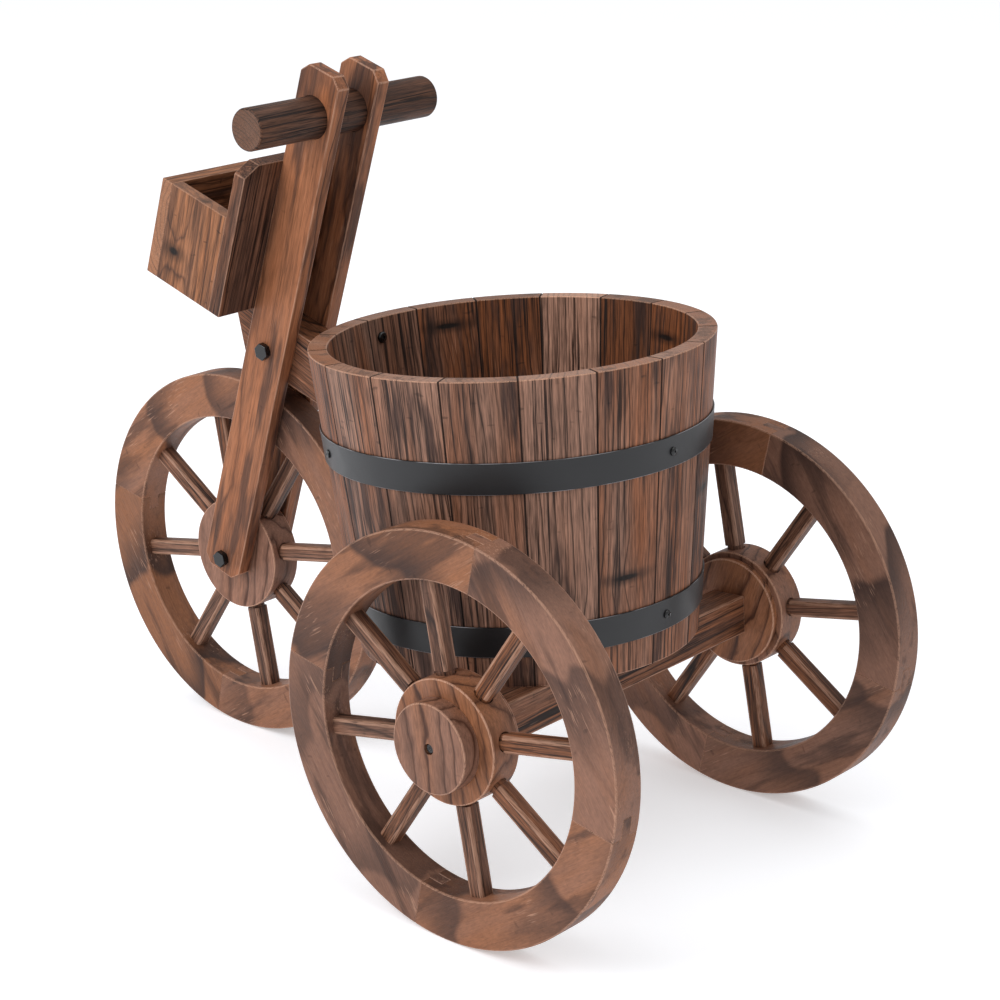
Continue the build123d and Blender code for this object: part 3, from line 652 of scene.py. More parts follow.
# Grain of single pieces: along, across, pith, and warmth, darkness and smoke.
GRAINS = {
    "axle_beam": ((1, 0.01, 0.02), (0, 1, 0), (0.7, 0.03, 0.035), (0.5, 0.12, 0.3)),
    "barrel_bottom": ((1, 0.02, 0), (0, 1, 0), (0.4, 0.02, -0.05), (0.4, 0.15, 0.4)),
    "handlebar": ((1, 0.02, 0.01), (0, 1, 0.6), (0.5, 0.02, -0.03), (0.5, 0.8, 0.6)),
    "neck_block": ((0, 1, 0.1), RIGHT, (0.04, 1.3, 0.12), (0.7, 0.1, 0.3)),
    "box_back": ((0.02, 0, 1), RIGHT, (0.03, 0.03, 0.7), (0.5, 0.3, 0.8)),
}
BLADE_MOOD = (0.3, -0.12, 0.45)
BOX_MOOD = (0.5, 0.05, 0.3)


def new_mesh():
    """An empty mesh that carries where each corner lies in its log, and which faces are painted
    pale as wear and as a painted highlight.
    """
    mesh = bmesh.new()
    for label in ("grain", "knot", "mood"):
        mesh.verts.layers.float_vector.new(label)
    mesh.faces.layers.float.new("worn")
    return mesh


def lay_grain(mesh, along, across, pith, mood, knot=FAR_AWAY, corners=None):
    """Writes on each corner its place in the log: along the grain and out from the pith."""
    along = Vector(along).normalized()
    across = Vector(across)
    across = (across - along * across.dot(along)).normalized()
    log = Matrix((along, across, along.cross(across)))
    grain_layer = mesh.verts.layers.float_vector["grain"]
    knot_layer = mesh.verts.layers.float_vector["knot"]
    mood_layer = mesh.verts.layers.float_vector["mood"]
    for corner in corners or mesh.verts:
        corner[grain_layer] = log @ (corner.co - Vector(pith))
        corner[knot_layer] = log @ (corner.co - Vector(knot))
        corner[mood_layer] = mood


def rounded(mesh, edges, ease, segments=2):
    """Rounds edges and marks the rounding to be painted pale, partly as wear and partly as a
    painted highlight.
    """
    made = bmesh.ops.bevel(
        mesh, geom=list(edges), offset=ease, offset_type="OFFSET", affect="EDGES",
        segments=segments, profile=0.5, material=-1, clamp_overlap=True,
    )
    layer = mesh.faces.layers.float["worn"]
    for face in made["faces"]:
        face[layer] = 1.0


def rub_ends(mesh, axis):
    """Marks the sawn ends of a piece as a little rubbed."""
    layer = mesh.faces.layers.float["worn"]
    for face in mesh.faces:
        if abs(face.normal.dot(axis)) > FACES_ALONG:
            face[layer] = END_RUB


def sharp_edges(mesh, above=EVERY_EDGE):
    """Edges where two faces meet at an angle."""
    return [edge for edge in mesh.edges if edge.is_manifold and edge.calc_face_angle() > above]


def block(mesh, low, high):
    """Adds a box between two corners and returns its corners."""
    low = Vector(low)
    high = Vector(high)
    place = Matrix.Translation((low + high) / 2) @ Matrix.Diagonal((*(high - low), 1))
    return bmesh.ops.create_cube(mesh, size=1, matrix=place)["verts"]


def plank(outline, low, high):
    """A flat piece: an outline in y and z, drawn out in x from low to high."""
    mesh = new_mesh()
    face = mesh.faces.new([mesh.verts.new((low, y, z)) for y, z in outline])
    made = bmesh.ops.extrude_face_region(mesh, geom=[face])["geom"]
    moved = [item for item in made if isinstance(item, bmesh.types.BMVert)]
    bmesh.ops.translate(mesh, verts=moved, vec=(high - low, 0, 0))
    bmesh.ops.recalc_face_normals(mesh, faces=mesh.faces[:])
    return mesh


def turned(mesh, profile, steps, place=Matrix()):
    """Adds a turned shape: radius and height points spun about the z axis of a place."""
    corners = [mesh.verts.new((radius, 0, height)) for radius, height in profile]
    closed = profile[0][0] > 0
    pairs = zip(corners, corners[1:] + corners[:1]) if closed else zip(corners, corners[1:])
    edges = [mesh.edges.new(pair) for pair in pairs]
    before = set(mesh.verts) - set(corners)
    bmesh.ops.spin(
        mesh, geom=corners + edges, cent=(0, 0, 0), axis=(0, 0, 1), dvec=(0, 0, 0),
        angle=tau, steps=steps, use_merge=True,
    )
    made = [corner for corner in mesh.verts if corner not in before]
    bmesh.ops.remove_doubles(mesh, verts=made, dist=SAME_SPOT)
    made = [corner for corner in mesh.verts if corner not in before]
    bmesh.ops.transform(mesh, verts=made, matrix=place)
    bmesh.ops.recalc_face_normals(mesh, faces=mesh.faces[:])
    return made


def across_axle(place):
    """A frame whose z axis runs to the right, at a place."""
    return Matrix.Translation(place) @ Matrix.Rotation(pi / 2, 4, "Y")


ALONG_AXLE = across_axle((0, 0, 0))
BOTH_WAYS = (pi / 2, -pi / 2)


def bare_object(name, mesh):
    """An object from a mesh in the making."""
    data = bpy.data.meshes.new(name)
    mesh.to_mesh(data)
    mesh.free()
    piece = bpy.data.objects.new(name, data)
    bpy.context.scene.collection.objects.link(piece)
    return piece


def cut_out(mesh, cutter):
    """Cuts one closed mesh out of another and returns what is left."""
    piece = bare_object("blank", mesh)
    tool = bare_object("cutter", cutter)
    cut = piece.modifiers.new("cut", "BOOLEAN")
    cut.operation = "DIFFERENCE"
    cut.solver = "EXACT"
    cut.object = tool
    seen = piece.evaluated_get(bpy.context.evaluated_depsgraph_get())
    left = bmesh.new()
    left.from_mesh(seen.to_mesh())
    seen.to_mesh_clear()
    for spent in (piece, tool):
        data = spent.data
        bpy.data.objects.remove(spent)
        bpy.data.meshes.remove(data)
    return left


def finish_piece(mesh, node, place, material):
    """Makes the mesh the piece that stands for a node, riding with the node's body."""
    bmesh.ops.transform(mesh, matrix=place, verts=mesh.verts[:])
    bmesh.ops.recalc_face_normals(mesh, faces=mesh.faces[:])
    piece = bare_object(f"{node}_made", mesh)
    piece.data.shade_smooth()
    piece.data.set_sharp_from_angle(angle=SMOOTH_BELOW)
    piece.data.materials.append(material)
    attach(piece, BODY_OF[node])
    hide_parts(node)
    return piece


def finish_wood(mesh, node, place, wood):
    """Makes the mesh a wooden piece."""
    finish_piece(mesh, node, place, wood_finish(wood))


def finish_bolt(mesh, node, place):
    """Makes the mesh a bolt, nut, washer or screw of glossy black steel."""
    colour = bpy.context.scene.planter_finish.bolt
    finish_piece(mesh, node, place, steel_finish("bolt_black", colour, *BOLT_SURFACE))


def lucky(label):
    """A random generator of a piece's own, the same each time."""
    return random.Random(label)


def drawn_mood(luck, darkness, most_smoke):
    """Warmth, darkness and smoke of a piece, drawn by luck."""
    return luck.random(), luck.uniform(*darkness), luck.uniform(0, most_smoke)


# ---- wheels ----------------------------------------------------------------------------
FELLOE_STEPS = 44
TONGUE_STEPS = 3


def with_borders(faces):
    """Faces with their edges and corners, as the spin wants them."""
    edges = {edge for face in faces for edge in face.edges}
    corners = {corner for face in faces for corner in face.verts}
    return list(faces) + list(edges) + list(corners)


def sweep(mesh, faces, turn, steps):
    """Draws faces round the wheel's axis and returns the faces at the end."""
    made = bmesh.ops.spin(
        mesh, geom=with_borders(faces), cent=(0, 0, 0), axis=RIGHT, dvec=(0, 0, 0),
        angle=turn, steps=steps, use_merge=False,
    )
    return [item for item in made["geom_last"] if isinstance(item, bmesh.types.BMFace)]


def felloe_mesh(sizes):
    """Quarter of a rim with a tongue in its middle third and a slot at its other end."""
    mesh = new_mesh()
    tongue = sizes.tongue_length / WHEEL_RADIUS
    quarter = tau / sizes.felloes
    third = HUB_WIDTH / 6
    place = Matrix.Translation((0, WHEEL_RADIUS - sizes.rim_depth / 2, 0))
    place = place @ Matrix.Diagonal((HUB_WIDTH, sizes.rim_depth, 1, 1))
    bmesh.ops.create_grid(mesh, x_segments=3, y_segments=1, size=0.5, matrix=place)
    first = mesh.faces[:]
    last = sweep(mesh, first, quarter - tongue, FELLOE_STEPS)
    cheeks = [face for face in last if abs(face.calc_center_median().x) > third]
    sweep(mesh, cheeks, tongue, TONGUE_STEPS)
    core = [face for face in first if abs(face.calc_center_median().x) < third]
    sweep(mesh, core, -tongue, TONGUE_STEPS)
    bmesh.ops.recalc_face_normals(mesh, faces=mesh.faces[:])
    half = HUB_WIDTH / 2 - third / 10
    sharp = sharp_edges(mesh, SQUARE_EDGE)
    long_edges = []
    for edge in sharp:
        ends = [corner.co for corner in edge.verts]
        radii = [hypot(end.y, end.z) for end in ends]
        if min(abs(end.x) for end in ends) > half and abs(radii[0] - radii[1]) < NEARLY:
            long_edges.append(edge)
    rounded(mesh, long_edges, sizes.rim_ease)
    rounded(mesh, sharp_edges(mesh, SQUARE_EDGE), sizes.joint_ease, 1)
    return mesh


def spoke_turn(sizes, index):
    """Turns a spoke that points up to its place in the wheel."""
    return Matrix.Rotation(sizes.spoke_start + index * tau / sizes.spokes - pi / 2, 4, "X")


class PLANTER_OT_felloes(bpy.types.Operator):
    """Rims of the three wheels, each of four sawn felloes"""

    bl_idname = "planter.add_felloes"
    bl_label = "Felloes"

    def execute(self, context):
        sizes = context.scene.planter_wheels
        for wheel in WHEELS:
            place = Matrix.Translation(middle(f"{wheel}_hub"))
            for index in range(sizes.felloes):
                node = f"{wheel}_felloe_{index + 1}"
                luck = lucky(node)
                start = sizes.felloe_start + index * tau / sizes.felloes
                mesh = felloe_mesh(sizes)
                chord = tau / sizes.felloes / 2
                along = (luck.uniform(-0.06, 0.06), -sin(chord), cos(chord))
                pith = Vector((0, cos(chord), sin(chord))) * luck.uniform(0.08, 0.13)
                pith += Vector((luck.choice((-1, 1)) * luck.uniform(0.02, 0.06), 0, 0))
                mood = drawn_mood(luck, (0, 0.35), 0.5)
                pith += Vector(along) * luck.uniform(-2, 2)
                lay_grain(mesh, along, RIGHT, pith, mood)
                turn = Matrix.Rotation(start, 4, "X")
                finish_wood(mesh, node, place @ turn, "rim_fir")
        return {"FINISHED"}


class PLANTER_OT_spokes(bpy.types.Operator):
    """Square spokes with rounded edges and a turned foot in the hub"""

    bl_idname = "planter.add_spokes"
    bl_label = "Spokes"

    def execute(self, context):
        sizes = context.scene.planter_wheels
        shoulder = HUB_RADIUS + sizes.foot_show
        half = sizes.spoke_side / 2
        head = WHEEL_RADIUS - sizes.rim_depth
        for wheel in WHEELS:
            node = f"{wheel}_spokes"
            luck = lucky(node)
            mesh = new_mesh()
            for index in range(sizes.spokes):
                before = set(mesh.verts)
                square = block(mesh, (-half, -half, shoulder), (half, half, head))
                own = {edge for corner in square for edge in corner.link_edges}
                long_edges = [edge for edge in own if edge.calc_length() > 2 * half + NEARLY]
                rounded(mesh, long_edges, sizes.spoke_ease, SPOKE_ROUNDING)
                foot = sizes.foot_diameter / 2
                deep = HUB_RADIUS - sizes.foot_depth
                slope = sizes.socket_gap
                turned(mesh, ((0, deep), (foot - slope, deep), (foot, shoulder - slope),
                              (foot - slope, shoulder + slope), (0, shoulder + slope)), FOOT_STEPS)
                own = [corner for corner in mesh.verts if corner not in before]
                tilt = (luck.uniform(-0.05, 0.05), luck.uniform(-0.05, 0.05), 1)
                reach = Vector((luck.uniform(-1, 1), luck.uniform(-1, 1), 0)).normalized()
                pith = reach * luck.uniform(0.02, 0.05) + Vector((0, 0, luck.uniform(-3, 3)))
                mood = drawn_mood(luck, (0.1, 0.4), 0.6)
                lay_grain(mesh, tilt, RIGHT, pith, mood, corners=own)
                bmesh.ops.transform(mesh, matrix=spoke_turn(sizes, index), verts=own)
            place = Matrix.Translation(middle(f"{wheel}_hub"))
            finish_wood(mesh, node, place, "scorched_fir")
        return {"FINISHED"}


def turned_disc(radius, bore, low, high, place, ease, pocket=None):
    """A bored disc from low to high along the axle, with an optional pocket at its top."""
    profile = [(bore, low), (radius, low), (radius, high)]
    if pocket:
        pocket_radius, pocket_depth = pocket
        profile += [(pocket_radius, high), (pocket_radius, high - pocket_depth)]
        profile.append((bore, high - pocket_depth))
    else:
        profile.append((bore, high))
    mesh = new_mesh()
    turned(mesh, profile, DISC_STEPS, place)
    rim = []
    for edge in sharp_edges(mesh, SQUARE_EDGE):
        if (place.inverted() @ edge.verts[0].co).xy.length > radius - NEARLY:
            rim.append(edge)
    rounded(mesh, rim, ease)
    return mesh


def disc_grain(mesh, luck, outward):
    """Flat-sawn grain across a disc, roughly upright, with the pith well inside."""
    lean = luck.uniform(-0.35, 0.35)
    along = Vector((0.1, sin(lean), cos(lean)))
    across = Vector((0, cos(lean), -sin(lean)))
    pith = across * luck.uniform(0.05, 0.075) - RIGHT * outward * luck.uniform(0.03, 0.05)
    pith += along * luck.uniform(-2, 2)
    lay_grain(mesh, along, across, pith, drawn_mood(luck, (-0.08, 0.2), 0.4))


class PLANTER_OT_hubs(bpy.types.Operator):
    """Turned hubs with sockets for the spokes, and the discs on the rear hubs"""

    bl_idname = "planter.add_hubs"
    bl_label = "Hubs"

    def execute(self, context):
        sizes = context.scene.planter_wheels
        for wheel in WHEELS:
            side = REAR_SIDES.get(wheel, -1)
            bore = sizes.rear_bore if wheel in REAR_SIDES else sizes.front_bore
            node = f"{wheel}_hub"
            mesh = turned_disc(HUB_RADIUS, bore / 2, -HUB_WIDTH / 2, HUB_WIDTH / 2,
                               ALONG_AXLE, sizes.hub_ease)
            sockets = new_mesh()
            hole = sizes.foot_diameter / 2 + sizes.socket_gap
            deep = HUB_RADIUS - sizes.foot_depth
            for index in range(sizes.spokes):
                turned(sockets, ((0, deep), (hole, deep), (hole, 2 * HUB_RADIUS),
                                 (0, 2 * HUB_RADIUS)), SCREW_STEPS, spoke_turn(sizes, index))
            mesh = cut_out(mesh, sockets)
            disc_grain(mesh, lucky(node), side)
            place = Matrix.Translation(middle(node))
            finish_wood(mesh, node, place, "hub_fir")
        for wheel, side in REAR_SIDES.items():
            for part in ("collar", "cap"):
                node = f"{wheel}_hub_{part}"
                half = span(node).x / 2
                pocket = None
                if part == "cap":
                    pocket = (sizes.cap_pocket_diameter / 2, sizes.cap_pocket_depth)
                way = Matrix.Rotation(side * pi / 2, 4, "Y")
                mesh = turned_disc(span(node).y / 2, sizes.rear_bore / 2, -half, half,
                                   way, sizes.hub_ease, pocket)
                disc_grain(mesh, lucky(node), side)
                place = Matrix.Translation(middle(node))
                finish_wood(mesh, node, place, "hub_fir")
        return {"FINISHED"}


# ---- rear axle -------------------------------------------------------------------------
class PLANTER_OT_axle(bpy.types.Operator):
    """Square beam between the rear wheels, and the screws that the wheels turn on"""

    bl_idname = "planter.add_axle"
    bl_label = "Axle"

    def execute(self, context):
        fork = context.scene.planter_fork
        wheels = context.scene.planter_wheels
        hardware = context.scene.planter_hardware
        half = span("axle_beam").x / 2
        side = fork.beam_side / 2
        mesh = new_mesh()
        block(mesh, (-half, -side, -side), (half, side, side))
        rounded(mesh, mesh.edges[:], fork.beam_edge)
        lay_grain(mesh, *GRAINS["axle_beam"])
        finish_wood(mesh, "axle_beam", BEAM, "scorched_fir")

        mesh = new_mesh()
        face = max(abs(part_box("left_wheel_hub_cap")[0][0]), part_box("right_wheel_hub_cap")[1][0])
        seat = face - wheels.cap_pocket_depth + hardware.end_play
        shank = hardware.axle_screw_diameter / 2
        head = hardware.axle_head_diameter / 2
        top = seat + hardware.axle_head_height
        for turn in BOTH_WAYS:
            turned(mesh, ((0, half - shank), (shank, half), (shank, seat), (head, seat),
                          (head, top - shank / 4), (head - shank / 4, top), (shank / 2, top),
                          (0, top - shank / 2)), SCREW_STEPS, Matrix.Rotation(turn, 4, "Y"))
        finish_bolt(mesh, "axle_screws", Matrix.Translation(REAR_AXLE))
        return {"FINISHED"}


# ---- barrel ----------------------------------------------------------------------------
STAVE_STEPS = 6
HOOP_STEPS = 160
# Outline of a screw's head with its socket, as shares of its radius and height.
HOOP_SCREW_DOME = (
    (0, -1), (1, -1), (1, 1 / 3), (0.85, 0.72), (0.5, 0.95), (0.28, 1), (0.2, 0.5), (0, 0.5),
)
WOOD_SCREW_DOME = (
    (1, -1), (1, -0.35), (0.82, -0.08), (0.5, 0), (0.3, 0), (0.22, -0.5), (0, -0.5),
)


def barrel_frame(sizes):
    """Frame at the foot of the barrel."""
    return local_frame(BARREL_FLOOR - BARREL_UP * sizes.bottom_thickness, BARREL_UP)


def barrel_taper(sizes):
    """How much wider the barrel's radius gets for each unit of height."""
    return (sizes.top_diameter - sizes.bottom_diameter) / 2 / sizes.height


def barrel_radius(sizes, drop, inset=0.0):
    """Outer radius of the staves at a depth below the rim, less an inset."""
    return sizes.top_diameter / 2 - barrel_taper(sizes) * drop - inset


# Knots: stave number, share of its width, depth below the rim in metres, inside or outside.
STAVE_KNOTS = {
    3: (0.5, 0.018, "inside"),
    16: (0.6, 0.025, "inside"),
    12: (0.45, 0.163, "outside"),
    11: (0.7, 0.2, "outside"),
    14: (0.4, 0.118, "outside"),
    8: (0.5, 0.14, "outside"),
    1: (0.5, 0.09, "inside"),
}
# Stave moods, listed one by one: warmth, darkness and smoke; the rest are drawn by luck.
STAVE_MOODS = {
    8: (0.3, 0.1, 0.5), 9: (0.2, 0.05, 0.45), 10: (0.4, 0.15, 0.35), 11: (0.15, 0.0, 0.25),
    12: (0.6, 0.05, 0.35), 13: (0.45, 0.0, 0.3), 14: (0.7, 0.15, 0.4), 3: (0.7, 0.2, 0.4),
    1: (0.0, -0.7, 0.0), 2: (0.8, 0.35, 0.6), 17: (0.95, 0.45, 0.5), 4: (0.4, 0.2, 0.6),
}


def darken_joints(mesh, turn, reach):
    """Marks the faces at both sides of a stave, where dirt sits in the joints."""
    layer = mesh.faces.layers.float["worn"]
    for face in mesh.faces:
        spot = face.calc_center_median()
        here = atan2(spot.y, spot.x)
        if min(here, turn - here) * spot.xy.length < reach:
            face[layer] = JOINT


class PLANTER_OT_staves(bpy.types.Operator):
    """Tapered staves of the barrel"""

    bl_idname = "planter.add_staves"
    bl_label = "Staves"

    def execute(self, context):
        sizes = context.scene.planter_barrel
        wide = tau / sizes.staves
        gap = 2 * sizes.glue_line / sizes.bottom_diameter
        for index in range(sizes.staves):
            number = index + 1
            node = f"stave_{number:02d}"
            luck = lucky(node)
            mesh = new_mesh()
            outline = (
                (barrel_radius(sizes, sizes.height, sizes.stave_thickness), 0),
                (barrel_radius(sizes, sizes.height), 0),
                (barrel_radius(sizes, 0), sizes.height),
                (barrel_radius(sizes, 0, sizes.stave_thickness), sizes.height),
            )
            face = mesh.faces.new([mesh.verts.new((radius, 0, up)) for radius, up in outline])
            bmesh.ops.spin(
                mesh, geom=with_borders([face]), cent=(0, 0, 0), axis=(0, 0, 1),
                dvec=(0, 0, 0), angle=wide - gap, steps=STAVE_STEPS, use_merge=False,
            )
            bmesh.ops.recalc_face_normals(mesh, faces=mesh.faces[:])
            rounded(mesh, sharp_edges(mesh, SQUARE_EDGE), sizes.stave_ease)
            rub_ends(mesh, Vector((0, 0, 1)))
            darken_joints(mesh, wide - gap, sizes.stave_ease)
            out = Vector((cos(wide / 2), sin(wide / 2), 0))
            along = out * barrel_taper(sizes) + Vector((luck.uniform(-0.015, 0.015), 0, 1))
            side = luck.choice((-1, 1)) * luck.uniform(0.03, 0.09)
            across = Vector((-out.y, out.x, 0))
            pith = out * (sizes.bottom_diameter / 2 - luck.uniform(0.01, 0.05)) + across * side
            pith += along * luck.uniform(-3, 3)
            mood = STAVE_MOODS.get(number, drawn_mood(luck, (0, 0.3), 0.6))
            knot = FAR_AWAY
            if number in STAVE_KNOTS:
                share, drop, face_side = STAVE_KNOTS[number]
                inset = sizes.stave_thickness if face_side == "inside" else 0
                turn = wide * share
                knot = Vector((cos(turn), sin(turn), 0)) * barrel_radius(sizes, drop, inset)
                knot.z = sizes.height - drop
            lay_grain(mesh, along, across, pith, mood, knot)
            turn = Matrix.Rotation(sizes.stave_start + index * wide, 4, "Z")
            finish_wood(mesh, node, barrel_frame(sizes) @ turn, "stave_fir")
        return {"FINISHED"}


class PLANTER_OT_barrel_bottom(bpy.types.Operator):
    """Round bottom of the barrel, of butted planks"""

    bl_idname = "planter.add_barrel_bottom"
    bl_label = "Barrel bottom"

    def execute(self, context):
        sizes = context.scene.planter_barrel
        inset = sizes.stave_thickness + sizes.glue_line
        low = barrel_radius(sizes, sizes.height, inset)
        high = barrel_radius(sizes, sizes.height - sizes.bottom_thickness, inset)
        mesh = new_mesh()
        turned(mesh, ((0, 0), (low, 0), (high, sizes.bottom_thickness),
                      (0, sizes.bottom_thickness)), DISC_STEPS)
        groove = new_mesh()
        step = 2 * high / sizes.planks
        half = sizes.stave_ease
        for index in range(1, sizes.planks):
            line = index * step - high
            block(groove, (-high, line - half, -half), (high, line + half, sizes.height))
        mesh = cut_out(mesh, groove)
        lay_grain(mesh, *GRAINS["barrel_bottom"])
        finish_wood(mesh, "barrel_bottom", barrel_frame(sizes), "scorched_fir")
        return {"FINISHED"}


class PLANTER_OT_hoops(bpy.types.Operator):
    """Steel hoops round the barrel and their screws"""

    bl_idname = "planter.add_hoops"
    bl_label = "Hoops"

    def execute(self, context):
        sizes = context.scene.planter_barrel
        enamel = context.scene.planter_finish.steel
        place = barrel_frame(sizes)
        screws = new_mesh()
        ease = sizes.hoop_thickness / 4
        head = sizes.screw_head_diameter / 2
        tall = sizes.screw_head_height
        drops = {"upper_hoop": sizes.upper_hoop_drop, "lower_hoop": sizes.lower_hoop_drop}
        for node, drop in drops.items():
            upper = drop - sizes.hoop_width / 2
            lower = drop + sizes.hoop_width / 2
            mesh = new_mesh()
            outline = []
            for edge, inset in ((lower, -sizes.glue_line), (lower, -sizes.hoop_thickness),
                                (upper, -sizes.hoop_thickness), (upper, -sizes.glue_line)):
                outline.append((barrel_radius(sizes, edge, inset), sizes.height - edge))
            turned(mesh, outline, HOOP_STEPS)
            rounded(mesh, sharp_edges(mesh, SQUARE_EDGE), ease)
            steel = steel_finish("hoop_black", enamel, *HOOP_SURFACE)
            finish_piece(mesh, node, place, steel)
            seat = barrel_radius(sizes, drop - head, -sizes.hoop_thickness)
            for index in range(sizes.hoop_screws):
                turn = Matrix.Rotation(index * tau / sizes.hoop_screws - pi / 2, 4, "Z")
                turn = turn @ Matrix.Translation((0, 0, sizes.height - drop))
                turn = turn @ Matrix.Rotation(pi / 2, 4, "Y")
                dome = [(head * wide, seat + tall * high) for wide, high in HOOP_SCREW_DOME]
                turned(screws, dome, SCREW_STEPS, turn)
        finish_bolt(screws, "hoop_screws", place)
        return {"FINISHED"}


# ---- fork ------------------------------------------------------------------------------
class PLANTER_OT_fork_blades(bpy.types.Operator):
    """Two raked planks with clipped corners, bored for the handlebar"""

    bl_idname = "planter.add_fork_blades"
    bl_label = "Fork blades"

    def execute(self, context):
        sizes = context.scene.planter_fork
        wide = sizes.blade_width / 2
        low = -sizes.below_axle
        high = sizes.above_axle
        corner = sizes.corner
        outline = (
            (-wide + corner, low), (wide - corner, low), (wide, low + corner),
            (wide, high - corner), (wide - corner, high), (corner - wide, high),
            (-wide, high - corner), (-wide, low + corner),
        )
        inner = sizes.blade_gap / 2
        outer = inner + sizes.blade_thickness
        for node, side in (("left_fork_blade", -1), ("right_fork_blade", 1)):
            luck = lucky(node)
            mesh = plank(outline, side * inner, side * outer)
            rounded(mesh, sharp_edges(mesh), sizes.edge)
            cutter = new_mesh()
            hole = span("handlebar").y / 2 + sizes.handlebar_gap
            turned(cutter, ((0, -outer), (hole, -outer), (hole, outer), (0, outer)),
                   BAR_HOLE_STEPS, across_axle((side * inner, 0, sizes.handlebar_height)))
            mesh = cut_out(mesh, cutter)
            along = Vector((0.012 * side, 0.03, 1))
            pith = Vector((-side * 0.03, luck.uniform(-0.034, -0.026), luck.uniform(-2, 2)))
            lay_grain(mesh, along, (0, 1, 0), pith, BLADE_MOOD)
            finish_wood(mesh, node, FORK, "fork_fir")
        return {"FINISHED"}


class PLANTER_OT_handlebar(bpy.types.Operator):
    """Round bar through both blades"""

    bl_idname = "planter.add_handlebar"
    bl_label = "Handlebar"

    def execute(self, context):
        sizes = context.scene.planter_fork
        half = span("handlebar").x / 2
        radius = span("handlebar").y / 2
        mesh = new_mesh()
        ease = sizes.handlebar_edge
        turned(mesh, ((0, -half), (radius - ease, -half), (radius - ease / 3, -half + ease / 3),
                      (radius, -half + ease), (radius, half - ease),
                      (radius - ease / 3, half - ease / 3), (radius - ease, half), (0, half)),
               BAR_STEPS, ALONG_AXLE)
        rub_ends(mesh, RIGHT)
        lay_grain(mesh, *GRAINS["handlebar"])
        place = FORK @ Matrix.Translation((0, 0, sizes.handlebar_height))
        finish_wood(mesh, "handlebar", place, "scorched_fir")
        return {"FINISHED"}


def barrel_cutter(sizes):
    """The barrel's outside with a step round its upper hoop, in the barrel's frame."""
    clear = sizes.glue_line
    hoop = sizes.hoop_thickness + clear
    upper = sizes.upper_hoop_drop - sizes.hoop_width / 2 - clear
    lower = sizes.upper_hoop_drop + sizes.hoop_width / 2 + clear
    profile = [(0, -sizes.height)]
    for drop, out in ((2 * sizes.height, clear), (lower, clear), (lower, hoop),
                      (upper, hoop), (upper, clear), (-sizes.height, clear)):
        profile.append((barrel_radius(sizes, drop, -out), sizes.height - drop))
    profile.append((0, 2 * sizes.height))
    return profile


class PLANTER_OT_neck(bpy.types.Operator):
    """Block between the blades that runs back to the barrel and rises at its heel"""

    bl_idname = "planter.add_neck"
    bl_label = "Neck"

    def execute(self, context):
        sizes = context.scene.planter_fork
        barrel = context.scene.planter_barrel
        to_fork = FORK.inverted() @ barrel_frame(barrel)
        heel_height = barrel.height - sizes.heel_drop
        heel = to_fork @ Vector((0, barrel_radius(barrel, sizes.heel_drop), heel_height))
        inside = to_fork @ Vector((0, barrel_radius(barrel, 0, sizes.neck_depth), heel_height))
        low = sizes.neck_height - sizes.neck_depth / 2
        high = sizes.neck_height + sizes.neck_depth / 2
        outline = (
            (sizes.nose_top, high), (sizes.nose_bottom, low), (inside.y, low),
            (inside.y, inside.z), (heel.y, heel.z), (-sizes.throat, high),
        )
        half = sizes.blade_gap / 2 - barrel.glue_line
        mesh = plank(outline, -half, half)
        rounded(mesh, sharp_edges(mesh), sizes.edge)
        cutter = new_mesh()
        turned(cutter, barrel_cutter(barrel), BARREL_STEPS, to_fork)
        mesh = cut_out(mesh, cutter)
        lay_grain(mesh, *GRAINS["neck_block"])
        finish_wood(mesh, "neck_block", FORK, "scorched_fir")
        return {"FINISHED"}


# ---- bolts and screws ------------------------------------------------------------------
def hexagon(mesh, flats, low, high, ease, place):
    """A hexagonal head or nut along x, with its outer corners rounded."""
    before = set(mesh.verts)
    radius = flats / 2 / cos(pi / 6)
    centre = place @ across_axle(((low + high) / 2, 0, 0))
    bmesh.ops.create_cone(
        mesh, cap_ends=True, segments=6, radius1=radius, radius2=radius,
        depth=abs(high - low), matrix=centre,
    )
    own = {edge for corner in mesh.verts if corner not in before for edge in corner.link_edges}
    rounded(mesh, own, ease)


def hex_bolt(node, height, sizes, fork):
    """Bolt across the fork, with its head on the left."""
    mesh = new_mesh()
    face = fork.blade_gap / 2 + fork.blade_thickness
    place = Matrix.Translation((0, 0, height))
    top = -face - sizes.head_height
    hexagon(mesh, sizes.head_flats, top, -face, sizes.head_ease, place)
    shank = sizes.bolt_diameter / 2
    tail = face + sizes.nut_height + sizes.bolt_tail
    edge = sizes.head_ease
    turned(mesh, ((0, -face), (shank, -face), (shank, tail - edge), (shank - edge, tail),
                  (0, tail)), SCREW_STEPS, place @ ALONG_AXLE)
    boss = sizes.head_flats / 2
    turned(mesh, ((0, -face), (boss, -face), (boss, -face - edge), (0, -face - edge)),
           WASHER_STEPS, place @ ALONG_AXLE)
    finish_bolt(mesh, node, FORK)


